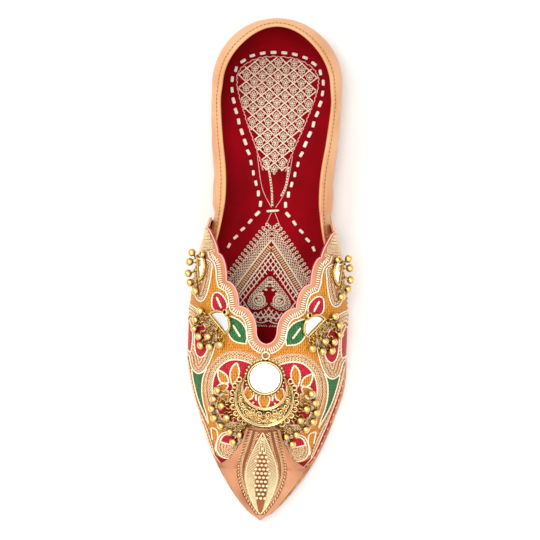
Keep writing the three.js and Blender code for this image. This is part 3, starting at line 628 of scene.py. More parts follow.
def mirror_glass(name):
    # Small mirror cut from thin silvered glass: near white, with the faint ripple of hand-blown glass
    material, tree, shader, place = new_material(name, Metallic=1.0, Roughness=0.05)
    ripple = node(tree, "ShaderNodeTexNoise", {"Vector": place, "Scale": per_metre(9), "Detail": 2.0})
    colour = node(tree, "ShaderNodeValToRGB", {"Fac": ripple}, [(0.3, "#F0F2EE"), (0.7, "#FDFDF8")])
    bent = node(tree, "ShaderNodeBump", {"Height": ripple, "Strength": 0.03, "Distance": 0.0003})
    connect(tree, shader, {"Base Color": colour, "Normal": bent})
    return material


def sole_leather(name, light, middle, dark):
    # Pressed buff sole leather with a rubbed edge: matt tan with fibre flecks and faint layers
    material, tree, shader, place = new_material(name, Roughness=0.75, Specular_IOR_Level=0.3)
    flecks = node(tree, "ShaderNodeTexNoise",
                  {"Vector": place, "Scale": per_metre(3), "Detail": 6.0, "Roughness": 0.65})
    layers = node(tree, "ShaderNodeTexWave",
                  {"Vector": place, "Scale": per_metre(1.3) / math.tau, "Distortion": 1.5,
                                              "Detail": 2.0, "Detail Scale": 2.0}, bands_direction="Z")
    layered = node(tree, "ShaderNodeMath", {0: layers.outputs["Fac"], 1: 0.25, 2: flecks},
                   operation="MULTIPLY_ADD")
    colour = node(tree, "ShaderNodeValToRGB", {"Fac": layered},
                  [(0.35, dark), (0.6, middle), (0.85, light)])
    fibres = node(tree, "ShaderNodeBump", {"Height": flecks, "Strength": 0.3, "Distance": 0.0003})
    connect(tree, shader, {"Base Color": colour, "Normal": fibres})
    return material


tan = calf_leather("tan calf leather", "#EDB585", "#E7AA76", "#DA9865")
topline_tan = calf_leather("tan calf leather, skived strip", "#DC9E76", "#CF8D66", "#B4744C")
cap_tan = calf_leather("brown calf leather, waxed", "#E2A47C", "#D38F66", "#B57049")
band_brown = calf_leather("brown calf leather under stitching", "#AE6A3C", "#985630", "#783C1C", 0.7)
wine = velvet("wine red cotton velvet", "#A80014", "#94000E", "#7C000A")
orange = satin_silk("orange silk floss, upright stitches", "#F6A53A", "#EC941C", "#AC5C08")
green = satin_silk("green silk floss, upright stitches", "#428C48", "#307838", "#12481E")
red = satin_silk("red silk floss, upright stitches", "#E62440", "#D4142E", "#860818")
# In each thread below, the darker colours come from the painted shade of the occlusion together with a random
# tone
zari_ground = spun_thread("brown cotton under the gilt thread", "#CC8A58", "#B87044", "#8A4A28", 0.7)
zari_cream = spun_thread("pale gilt cord", "#FFF0D6", "#F4DCB4", "#C89E6C")
zari_gold = spun_thread("gilt chain stitch", "#FFE2B4", "#F2C890", "#B47C46", 0.42, 0.1)
zari_net = spun_thread("gilt chain stitch on velvet", "#FFEED4", "#F8D6AE", "#B07C50", 0.42)
zari_pale = spun_thread("pale gilt thread on the toe", "#F8E2B2", "#E2C48A", "#9A7440", 0.4, 0.15)
zari_brown = spun_thread("brown gilt thread", "#FBD8A4", "#E6B072", "#98602E", 0.42)
zari_tan = spun_thread("tan gilt thread", "#F0C694", "#CC965E", "#84502A", 0.45)
knot_brown = spun_thread("brown cotton knots", "#B0703C", "#965828", "#6A3A18", 0.6)
cotton = spun_thread("cream cotton thread", "#FFF2DE", "#FFE6CC", "#D8B28C", 0.6)
pink = spun_thread("pink cotton piping", "#F8B8AE", "#EA9488", "#C96660", 0.6)
brown_thread = spun_thread("brown linen thread", "#C08048", "#A46836", "#744422", 0.6)
wine_cord = spun_thread("wine red cotton cord", "#C01230", "#A00820", "#680010", 0.7)
# For the brass below, the dark colour comes from the occlusion: patina in the hollows and painted shade near
# other parts
brass = antique_brass("antique gilt brass", "#FBE2AC", "#DDB46C", "#80561E")
# A darker copy of the brass, given to the crescent's sunk ground
brass_floor = antique_brass("antique gilt brass, darker sunk ground", "#D8AE68", "#B08240", "#6A4416")
# The bells and charm frames get a 4.5 mm occlusion reach: painted shade wherever they sit near each other or
# the vamp
brass_beads = antique_brass("antique gilt brass, polished beads", "#F8D488", "#CC933E", "#5A340E", 0.0045)
silvered = mirror_glass("silvered mirror glass")
buff = sole_leather("buff sole leather", "#D9A474", "#C88F60", "#A06C40")
buff_dark = sole_leather("stacked heel leather", "#C08A58", "#A97446", "#7E5230")


# Quarter: leather outside and over the collar's edge
FAN = [SIDE * step / 28 for step in range(29)]
quarter_rows = FAN[:-1] + [row_at(HEEL_ROOT + 1.6 * step) for step in range(60)]
half_edges = np.array(topline)


def edge_half(along):
    return float(np.interp(along, half_edges[:, 0], half_edges[:, 1]))


def mouth_half(row):
    r = rib(row)
    return min(r.mouth, edge_half(r.along) + 1) if r.along > WING_TIP else r.mouth


def quarter_depth(row):
    return under_vamp(rib(row).along) if row > SIDE else 0.0


# The collar is turned in and stitched down this far from its edge
SEAM = 2.4
# Soft creases of the flanks, as start and end in (along, level), half width and depth
CREASES = [((62, 0.1), (76, -0.5), 3.0, 0.3), ((84, 0.2), (95, -0.45), 2.8, 0.3),
           ((40, 0.0), (50, -0.5), 3.0, 0.25)]
LEVEL_SPAN = 26


def creased(along, level):
    """How deep the creases are at a place, with a soft ridge beside each."""
    sunk = 0.0
    for start, end, width, depth in CREASES:
        a, b = (Vector((place[0], place[1] * LEVEL_SPAN)) for place in (start, end))
        here, run = Vector((along, level * LEVEL_SPAN)), b - a
        t = min(max((here - a).dot(run) / run.dot(run), 0), 1)
        gap = (here - a - run * t).length / width
        ridge = 0.45 * math.exp(-((gap - 2) ** 2))
        sunk += depth * math.sin(math.pi * (0.15 + 0.7 * t)) * (math.exp(-gap * gap) - ridge)
    return sunk


def build_quarter():
    bm = bmesh.new()
    outside, roll = 66, 8

    def place(i, j):
        row = quarter_rows[j]
        depth = quarter_depth(row)
        top = level_of(row, mouth_half(row), depth)
        level = -1 + (1 + top) * (1 - (1 - min(i / outside, 1.0)) ** 1.5)
        point = skin(row, 1, level, depth)
        if i <= outside:
            edge_gap = (skin(row, 1, top, depth) - point).length
            dip = 0.3 * (1 - ramp(edge_gap, SEAM - 0.2, SEAM + 0.3))
            dip += 0.45 * math.exp(-(((edge_gap - SEAM) / 0.42) ** 2))
            dip += creased(rib(row).along, level) if row > SIDE else 0.0
            return point - (skin(row, 1, level, depth - 1) - point) * dip
        inner = skin(row, 1, level, depth + WALL)
        turn = math.pi * (i - outside) / roll
        middle, half = (point + inner) / 2, (point - inner) / 2
        rise = (skin(row, 1, top, depth) - skin(row, 1, top - 0.03, depth)).normalized() * WALL / 2
        return middle + half * math.cos(turn) + rise * math.sin(turn)

    sheet(bm, outside + roll + 1, len(quarter_rows), place)
    mirrored(bm)
    finished("quarter", bm, tan, ["upper"], turn_out=False)


build_quarter()


def build_collar_stitches():
    bm = bmesh.new()
    line = []
    for row in quarter_rows:
        depth = quarter_depth(row)
        top = level_of(row, mouth_half(row), depth)
        edge = skin(row, 1, top, depth)
        level = top
        while (skin(row, 1, level, depth) - edge).length < SEAM and level > 0:
            level -= 0.004
        line.append(tuple(skin(row, 1, level, depth + 0.3)))
    seam = even(np.array(line), 2.2)
    for start, end in zip(seam[:-1], seam[1:]):
        for sign in SIDES:
            tube(bm, [mix(start, end, t) * (sign, 1, 1) for t in (0.12, 0.3, 0.6, 0.88)], 0.27)
    finished("collar_stitches", bm, brown_thread)


build_collar_stitches()


# Lining: velvet inside the upper, from the collar down to the footbed and on into the toe
QUARTER_END = HEEL_ROOT + 1.6 * 60
lining_rows = quarter_rows + [row_at(mix(QUARTER_END, LENGTH - 4, step / 60)) for step in range(61)]


def build_lining():
    bm = bmesh.new()
    columns = 40

    def place(i, j):
        row = lining_rows[j]
        depth = quarter_depth(row)
        half = mouth_half(row) if rib(row).along < THROAT else 0.0
        top = level_of(row, half, depth)
        level = -1 + (1 + top) * i / (columns - 1)
        return skin(row, 1, level, depth + WALL + 0.02)

    sheet(bm, columns, len(lining_rows), place)
    mirrored(bm)
    bmesh.ops.reverse_faces(bm, faces=bm.faces)
    finished("lining", bm, wine, turn_out=False)


build_lining()


# Footbed and sole: closed slabs made from one profile on each rib
def slab(bm, rows, profile, draw_at=lambda row: 0.0):
    """Profile gives the (reach, height) points on a rib from the middle below to the middle on top."""
    columns = len(profile(rows[0]))

    def place(i, j):
        row = rows[j]
        reach, height = profile(row)[i]
        return rib_point(row, 1, max(reach, 0.0), height, draw_at(row))

    sheet(bm, columns, len(rows), place)


sole_rows = FAN[:-1] + [row_at(HEEL_ROOT + (LENGTH - HEEL_ROOT) * step / 140) for step in range(141)]


# The sole sits a little to the right under the toe, so that its edge shows from above on that side
RAND, RAND_FROM, RAND_FULL, RAND_TO = 2.3, 174, 212, 268


def rand_share(along):
    return ramp(along, RAND_FROM, RAND_FULL) * (1 - ramp(along, RAND_TO - 34, RAND_TO))


def build_outsole():
    bm = bmesh.new()

    def profile(row):
        r = rib(row)
        low = sole_rise(r.along)
        reach = r.sole
        edge = [(-1.4, 0), (-0.55, 0.12), (-0.12, 0.5), (0, 1.1), (0.05, 2.2), (-0.02, 3.1), (-0.2, 3.7),
                (-0.7, SOLE)]
        # The rounded edge gets narrower where the sole runs out to its tip
        share = min(reach / 3, 1.0)
        inner = [(reach * t, 0) for t in (0, 0.35, 0.7)]
        return ([(x, low + z) for x, z in inner] + [(reach + x * share, low + z) for x, z in edge]
                + [(reach * t, low + SOLE) for t in (0.9, 0.6, 0)])

    slab(bm, sole_rows, profile)
    mirrored(bm)
    for vert in bm.verts:
        along = LENGTH / 2 - vert.co.y
        if vert.co.x > 0 and along > RAND_FROM:
            r = rib(row_at(min(along, LENGTH - 1)))
            to_edge = min(vert.co.x / max(r.sole, 1), 1) ** 8
            vert.co.x += (r.wall - r.sole + RAND + 0.9) * rand_share(along) * to_edge
    finished("outsole_leather", bm, buff, ["outsole"], turn_out=False)


build_outsole()


def build_heel():
    bm = bmesh.new()
    rows = FAN[:-1] + [row_at(mix(HEEL_ROOT, HEEL_BREAST, step / 16)) for step in range(17)]

    def profile(row):
        reach = rib(row).sole - HEEL_SET
        top = HEEL_LIFT - FIT
        side = [(-1.9, 0), (-1.2, 0.25), (-1.0, 0.8), (-0.85, 2.0), (-1.1, 2.15), (-0.75, 2.3), (-0.5, 4.2),
                (-0.75, 4.35), (-0.4, 4.5), (-0.1, top - 0.3), (-0.25, top)]
        return [(0, 0), (reach * 0.5, 0)] + [(reach + x, z) for x, z in side] + [(reach * 0.5, top), (0, top)]

    slab(bm, rows, profile)
    mirrored(bm)
    open_edges = [edge for edge in bm.edges if edge.is_boundary]
    bmesh.ops.holes_fill(bm, edges=open_edges, sides=0)
    finished("heel_stack", bm, buff_dark, ["heel"])


build_heel()


def wall_depth(row):
    return (under_vamp(rib(row).along) if row > SIDE else 0.0) + WALL


def footbed_reach(row):
    within = thinned(rib(row).wall, wall_depth(row))
    return max(within - min(TUCK, within / 4) - 2 * FIT, 0.0)


def footbed_draw(row):
    depth = wall_depth(row)
    return depth * depth / (rib(row).wall + depth) if row > SIDE else 0.0


# Running stitches that quilt the footbed: right-hand line from the back middle down to the wing
RUNNING = [(0, 18), (6, 18.2), (11.7, 19.4), (15.6, 20.8), (20.2, 24.1), (23.7, 29.1), (25.1, 34.9),
           (24.5, 41.3), (23.2, 47.4), (21.4, 53.5), (19.5, 59.6), (17.3, 65.5), (15.4, 70.6), (13.4, 76.8),
           (11.6, 83.6), (9.6, 90.5), (8.0, 96.5), (6.7, 103.3), (9.0, 107.2), (13.6, 112.4), (18.4, 118),
           (22.5, 123.5), (25, 127)]
running_line = curve(RUNNING, step=1.0)


def build_footbed():
    bm = bmesh.new()
    rows = [row for row in sole_rows if rib(row).along <= LENGTH - 4 * (WALL + VAMP_WALL)]
    shares = [step / 36 for step in range(37)]

    def profile(row):
        along = rib(row).along - footbed_draw(row)
        low, reach = wall_foot(along), footbed_reach(row)
        return [(0, low), (reach, low), (reach + 0.1, low + INSOLE / 2)] + [
            (reach * (1 - t), low + INSOLE - 0.4 * max(1 - t / 0.03, 0.0)) for t in shares]

    slab(bm, rows, profile, footbed_draw)
    tops = [vert for vert in bm.verts if vert.co.z > wall_foot(LENGTH / 2 - vert.co.y) + INSOLE - 0.6]
    places = np.array([(vert.co.x, LENGTH / 2 - vert.co.y) for vert in tops])
    gap = away(places, running_line)
    for vert, distance in zip(tops, gap):
        vert.co.z -= 0.8 * math.exp(-((distance / 1.7) ** 2))
    mirrored(bm)
    bmesh.ops.holes_fill(bm, edges=[edge for edge in bm.edges if edge.is_boundary], sides=0)
    finished("footbed", bm, wine, ["insole"], turn_out=False)


build_footbed()


# Vamp. Its embroidered areas on one half, drawn from above as (across, along) and mirrored.
# A point given twice is a corner.
NET, ORANGE, GREEN, RED, TAN, LINING_STRIP = range(6)
AREAS = {
    "wing": (NET, [(24, 104), (47, 104), (47, 127), (38.8, 132), (33.6, 135.6), (28.4, 133.6), (24, 135)]),
    "wing leaf": (GREEN, [(37.8, 111), (37.8, 111), (38.2, 118), (39.3, 125), (41.6, 131), (45.5, 134),
                          (45.5, 134), (47.5, 126), (46, 117), (42, 111.5)]),
    "drop": (NET, [(31.4, 134), (31.1, 140), (32.2, 147.6), (33.9, 153.2), (36.5, 155.4), (39.3, 153),
                   (40.6, 147), (41, 140), (40, 132)]),
    "bud": (RED, [(29.3, 150.8), (26.4, 150.2), (23.2, 153), (21.6, 156.8), (22.8, 160.6), (22.8, 160.6),
                  (26.4, 161), (29.6, 158.6), (30.2, 154.6)]),
    "leaf": (GREEN, [(20.3, 162.4), (20.3, 162.4), (21.4, 168.6), (19.9, 173.4), (16.4, 176.4),
                     (10.9, 177.2), (10.9, 177.2), (10.3, 172.6), (11.7, 168.2), (15, 164.6)]),
    "paisley": (NET, [(44.5, 158.2), (38.4, 159.6), (33, 163.2), (28.4, 169), (27.1, 175), (28.2, 181.2),
                      (30.4, 188), (33.2, 192.8), (36.6, 194.6), (40, 191.8), (42, 185), (46, 182),
                      (50, 170)]),
    "paisley drop": (RED, [(36.6, 164.6), (36.6, 164.6), (33, 169.6), (31.3, 175.6), (31.8, 182),
                           (34.6, 185.8), (37.6, 184.4), (38.9, 179), (38.8, 170)]),
    "paisley strip": (RED, [(42.3, 166), (42.3, 166), (40.4, 171), (40.1, 177), (40.8, 183.4),
                            (40.8, 183.4), (44, 181.4), (46.5, 174), (46, 168)]),
    "wedge": (GREEN, [(36.6, 194.9), (36.6, 194.9), (40.2, 192.4), (40.2, 192.4), (39.5, 196.5),
                      (38.2, 202), (36.6, 207.4), (34, 213.6), (29.7, 222), (29.7, 222), (31, 216.6),
                      (32.9, 211), (34, 204.2), (33.6, 197), (31.6, 191.4), (31.6, 191.4), (33.8, 193.8)]),
    "medallion": (NET, [(0, 184), (4, 183.7), (8.7, 181.9), (15, 180.8), (21.3, 181.7), (26.7, 185.1),
                        (30.8, 190.3), (33, 196.5), (33.4, 204), (31.8, 211.5), (29, 218.5), (25.2, 223.4),
                        (19, 225.6), (8, 226), (0, 226)]),
    "lower strip": (ORANGE, [(28.4, 224), (28.4, 224), (25.2, 225.2), (24.4, 229.5), (25.4, 233.6),
                             (25, 237.5), (25, 237.5), (27.2, 231.4)]),
    "lower lobe": (NET, [(10, 232), (13.5, 227.4), (18, 225.9), (22, 226.8), (24.4, 230.6), (24.9, 235.6),
                         (22.8, 239.2), (18, 240.6), (13, 239), (9, 236)]),
    "lower bud": (RED, [(12.3, 231.4), (12.3, 231.4), (13.8, 228.4), (17.6, 227), (21.4, 228),
                        (23.2, 231.4), (23.2, 231.4), (18, 232.6)]),
    "lining strip": (LINING_STRIP, [(27.5, 238), (24.5, 239.6), (20.5, 241.2), (15, 240.8), (15, 246),
                                    (26, 246), (30, 241)]),
}
PETALS = [
    [(15.4, 187.6), (15.4, 187.6), (13.9, 192.4), (15, 197), (17.7, 199.8), (17.7, 199.8), (18.9, 194.8),
     (18, 190.4)],
    [(25.5, 192), (25.5, 192), (20.9, 194.6), (19.3, 198.9), (19.3, 198.9), (23.4, 199), (25.3, 195.4)],
    [(27.7, 204.6), (27.7, 204.6), (24.8, 200.4), (21.4, 199.3), (19.6, 200.4), (19.6, 200.4),
     (21.2, 203.4), (24.4, 205.8)],
    [(25.6, 213), (25.6, 213), (25.6, 209), (22.4, 205), (19.6, 203.2), (19.6, 203.2), (19.4, 207.6),
     (22, 211.4)],
    [(7.5, 199.5), (7.5, 199.5), (5.6, 203), (6.6, 206.6), (9.2, 207.8), (9.2, 207.8), (10.8, 204.4),
     (9.8, 201)],
]
MIDDLE_PETAL = [(0, 202), (2.4, 204.4), (3, 207.6), (1.8, 210.8), (0, 212.4)]
BORDER = [(47.5, 100), (47.2, 130), (47.6, 150), (47.8, 170), (45, 181), (41.4, 187.5), (39.6, 195.5),
          (37.2, 205), (34.6, 213.2), (30.4, 222.2), (27.2, 230.5), (25, 237.6), (23.6, 243), (14, 262)]
TAN_EDGE, NET_EDGE, RING = 1.8, 5.4, 5.2

area_lines = {name: (kind, curve(points, True)) for name, (kind, points) in AREAS.items()}
petal_lines = [curve(points, True) for points in PETALS]
middle_line = curve(MIDDLE_PETAL)
border_line = curve(BORDER)
edge_line = even(np.array([(half, along) for along, half in make_topline(24)]), 0.6)
medallion_line = curve(AREAS["medallion"][1])
middle_loop = np.concatenate([middle_line, middle_line[::-1] * (-1, 1)])


def kinds_at(points):
    """What the embroidery is at each (across, along) on the half of the vamp."""
    points = np.abs(points)
    kinds = np.full(len(points), ORANGE)
    from_edge = away(points, edge_line)
    for name, (kind, line) in area_lines.items():
        found = inside(points, line)
        kinds[found] = kind
        if name == "medallion":
            heart = found & (away(points, medallion_line) > RING)
            kinds[heart] = RED
            for petal in petal_lines + [middle_loop]:
                kinds[heart & inside(points, petal)] = ORANGE
        if name == "drop":
            kinds[(from_edge < NET_EDGE) & (points[:, 1] < THROAT + NET_EDGE)] = NET
            kinds[(from_edge < TAN_EDGE) & (points[:, 1] < THROAT + TAN_EDGE)] = TAN
    limit = np.interp(points[:, 1], border_line[:, 1], border_line[:, 0])
    kinds[(points[:, 0] > limit) & (kinds != LINING_STRIP)] = NET
    return kinds


vamp_edge = make_topline(20)
vamp_front_rows = [(mix(THROAT, VAMP_FRONT, (step / 130) ** 0.95), 0.0) for step in range(1, 131)]
vamp_rows = vamp_edge + vamp_front_rows
VAMP_COLUMNS = 120
# Plain edge of the wing, and where the flank turns down: floss on it runs on by its height
WING_EDGE, FLANK_TOP, FLANK_FROM = 2.2, 40, 25


def wing_rake(along, level):
    fade = max(1 - (along - WING_TIP) / (WING_ROOT - WING_TIP), 0.0)
    return WING_RAKE * fade * (1 - ramp(level, -1, 1))


def spread_across(point, along):
    """The across value of a point: as seen from above, and on down the flank past the widest line."""
    row = row_at(along)
    r = rib(row)
    widest = wall_foot(along) + r.bulge * r.rise
    return abs(point.x) if point.z >= widest else thinned(r.wall, under_cap(along)) + widest - point.z


def vamp_skin(along, half, share, lift=0.0, sign=1):
    """Point of the vamp at a share of the way from the sole up to the line at a half width."""
    top = level_of(row_at(along), half, under_cap(along), wing_square(along))
    level = -1 + (1 + top) * share
    raked = along + wing_rake(along, level)
    return skin(row_at(raked), sign, level, under_cap(raked) - lift, wing_square(along))


def turn_rim_in(bm, wall):
    """Gives the open edges of a shell a wall that goes straight in."""
    rim = [edge for edge in bm.edges if edge.is_boundary]
    turned = bmesh.ops.extrude_edge_only(bm, edges=rim)["geom"]
    bm.normal_update()
    drops = []
    for vert in (item for item in turned if isinstance(item, bmesh.types.BMVert)):
        near = [edge.other_vert(vert) for edge in vert.link_edges]
        source = [other for other in near if (other.co - vert.co).length < 1e-6]
        if source:
            normals = [face.normal for face in source[0].link_faces if face.calc_area() > 1e-6]
            drops.append((vert, sum(normals, Vector((0, 0, 0))).normalized() * wall))
    for vert, drop in drops:
        vert.co -= drop


def read(items, name, width=1, kind=np.float32):
    """One value of every item of a mesh, as an array."""
    values = np.empty(len(items) * width, kind)
    items.foreach_get(name, values)
    return values.reshape(-1, width) if width > 1 else values


def paint_vamp(mesh):
    """Gives each face what it is embroidered with, and each corner its place along the threads."""
    spots = read(mesh.vertices, "co", 3) / MM
    along = LENGTH / 2 - spots[:, 1]
    across = np.array([spread_across(Vector(p), LENGTH / 2 - p[1]) for p in spots])
    plan = np.stack([across, along], axis=1)
    starts = read(mesh.polygons, "loop_start", kind=np.int32)
    corners = read(mesh.loops, "vertex_index", kind=np.int32)
    middles = (plan[corners[starts]] + plan[corners[starts + 1]] + plan[corners[starts + 2]]) / 3
    kinds = kinds_at(middles)
    # On the steep wing the plain edge is as narrow as on the flat: the net starts right below it
    rim_height = np.interp(middles[:, 1], edge_line[:, 1], [on_vamp(*spot).z for spot in edge_line])
    below = spots[corners[starts], 2] < rim_height - WING_EDGE
    kinds[(kinds == TAN) & (middles[:, 1] < WING_ROOT) & below] = NET
    mesh.polygons.foreach_set("material_index", kinds.astype(np.int32))
    girth = across + np.maximum(FLANK_TOP - spots[:, 2], 0) * (across > FLANK_FROM)
    threads = np.stack([plan[:, 1], girth * np.sign(spots[:, 0] + 1e-6)], axis=1)
    layer = mesh.uv_layers.new(name="thread")
    layer.data.foreach_set("uv", threads[corners].astype(np.float32).ravel())
    mesh.update()


def build_vamp():
    bm = bmesh.new()
    last = VAMP_COLUMNS - 1
    sheet(bm, VAMP_COLUMNS, len(vamp_rows), lambda i, j: vamp_skin(*vamp_rows[j], i / last))
    mirrored(bm)
    bm.normal_update()
    turn_rim_in(bm, VAMP_WALL - FIT)
    finishes = [zari_ground, orange, green, red, topline_tan, wine]
    vamp = finished("vamp_embroidered", bm, finishes, ["vamp"], merge=0, turn_out=False)
    paint_vamp(vamp.data)


build_vamp()


# Threads: each seam and filling is one small shape laid in rows along lines on a surface
FLIP = Matrix.Scale(-1, 4, (1, 0, 0))
rough_hand = random.Random(7)
loop_stitch = unit(lambda bm: ring_shape(bm, 0.62, 0.24, steps=8, sides=4, stretch=1.25))
plump_stitch = unit(lambda bm: bmesh.ops.create_uvsphere(bm, u_segments=7, v_segments=5, radius=1.0))


def flat_stitch_shape(bm):
    bmesh.ops.create_cube(bm, size=2)
    bmesh.ops.bevel(bm, geom=bm.edges[:], offset=0.4, segments=2, profile=0.5, affect="EDGES", material=-1)


flat_stitch = unit(flat_stitch_shape)
RIB, KNOT, BLOCK = (0.38, 1.62, 0.45), (1.05, 0.75, 0.6), (1.65, 0.85, 0.45)


def cords(bm, surface, line, radius=0.45, lift=0.25, both=True, lobes=0.25, pitch=1.7):
    """A cord laid along a line on a surface, on one side of the shoe or on both."""
    fine = even(np.asarray(line, float), 0.42)
    for sign in SIDES if both else (1,):
        points = [surface(sign * x, along, lift) for x, along in fine]
        tube(bm, points, radius, lobes=lobes, pitch=pitch)


def link_frames(surface, line, pitch, lift):
    """Even places along a line on a surface, each with its direction and the surface's normal."""
    line = np.asarray(line, float)
    if len(line) < 3:
        return []
    points = np.array([tuple(surface(x, along, lift)) for x, along in line])
    run = np.concatenate([[0], np.cumsum(np.linalg.norm(np.diff(points, axis=0), axis=1))])
    count = int(run[-1] / pitch)
    frames = []
    for step in range(count):
        here, ahead = (step + 0.5) * run[-1] / count, (step + 0.9) * run[-1] / count
        spot = [np.interp(here, run, line[:, axis]) for axis in (0, 1)]
        on = [np.interp(ahead, run, line[:, axis]) for axis in (0, 1)]
        place = surface(spot[0], spot[1], lift)
        along = surface(on[0], on[1], lift) - place
        normal = surface(spot[0], spot[1], lift + 1) - place
        if along.length > 1e-6 and normal.length > 1e-6:
            frames.append((spot, place, along, normal.normalized()))
    return frames


def stitches(bm, shape, surface, line, pitch, lift=0.25, size=(1, 1, 1), lean=0.0, sway=0.2, wanted=None,
             both=True):
    """Lays a shape along a line, a little unevenly as a hand does, on one side of the shoe or on both."""
    frames = link_frames(surface, line, pitch, lift)
    if wanted is not None and frames:
        kept = wanted(np.array([frame[0] for frame in frames]))
        frames = [frame for frame, keep in zip(frames, kept) if keep]
    for _, place, along, normal in frames:
        turn = Matrix.Rotation(lean + rough_hand.uniform(-sway, sway), 4, "Z")
        scale = rough_hand.uniform(1 - sway / 2, 1 + sway / 2)
        matrix = basis(along, normal, place, scale) @ turn @ Matrix.Diagonal((*size, 1))
        lay(bm, shape, matrix)
        if both:
            lay(bm, shape, FLIP @ matrix)


def split(line, keep):
    """The kept runs of a line."""
    runs, now = [], []
    for point, wanted in zip(line, keep):
        if wanted:
            now.append(point)
        elif now:
            runs.append(now)
            now = []
    if now:
        runs.append(now)
    return [np.array(run) for run in runs if len(run) > 3]


def both_halves(line):
    return np.concatenate([line, line[::-1] * (-1, 1)])


def towards(line, index, inner):
    """The sign with which a line is shifted to get inside a closed outline."""
    return 1 if inside(shifted(line, 0.6)[0][index : index + 1], inner)[0] else -1


def on_wing(points):
    """Whether points lie in front of the wing's raked back edge."""
    down = np.clip((points[:, 0] - 33) / 10, 0, 1)
    return points[:, 1] > WING_TIP + 3 + 3 * down


def net_only(points):
    return (kinds_at(points) == NET) & on_wing(np.abs(points))


# Filling of the net: stitches along a row, rows round the foot, and the clear space each needs
FILL_PITCH, FILL_ROW, FILL_CLEAR = 1.85, 1.62, 1.15


def fill_vamp_net(bm, laid):
    """Rows of chain stitches along the shoe, wherever the net is still bare."""
    tree = KDTree(len(laid))
    for index, spot in enumerate(laid):
        tree.insert(spot, index)
    tree.balance()
    for along in np.arange(WING_TIP + 1.1, CAP_BACK - 2, FILL_PITCH):
        half = float(np.interp(along, edge_line[:, 1], edge_line[:, 0])) if along < THROAT else 0.0
        widest = 1 / (1 + level_of(row_at(along), half, under_cap(along), wing_square(along)))
        tried = np.concatenate([np.linspace(0, widest, 20)[:-1],
                                mix(widest, 1, np.linspace(0, 1, 70) ** 4)])
        column = [vamp_skin(along, half, share, 0.25) for share in tried]
        gaps = [(after - before).length for before, after in zip(column, column[1:])]
        run = np.concatenate([[0], np.cumsum(gaps)])
        girths = np.arange(1.2, run[-1] - 2.4, FILL_ROW)
        shares = np.interp(girths, run, tried)
        spots = [vamp_skin(along, half, share, 0.25) for share in shares]
        if not spots:
            continue
        plan = np.array([(spread_across(spot, LENGTH / 2 - spot.y), LENGTH / 2 - spot.y) for spot in spots])
        kinds = kinds_at(plan)
        bare = (kinds == NET) | ((kinds == TAN) & (along < WING_ROOT))
        for share, spot, wanted in zip(shares, spots, bare):
            if wanted and tree.find(spot)[2] > FILL_CLEAR:
                ahead = vamp_skin(along + 1, half, share, 0.25) - spot
                out = vamp_skin(along, half, share, 1.25) - spot
                turn = Matrix.Rotation(rough_hand.uniform(-0.25, 0.25), 4, "Z")
                matrix = basis(ahead, out.normalized(), spot, rough_hand.uniform(0.9, 1.1)) @ turn
                lay(bm, loop_stitch, matrix)
                lay(bm, loop_stitch, FLIP @ matrix)


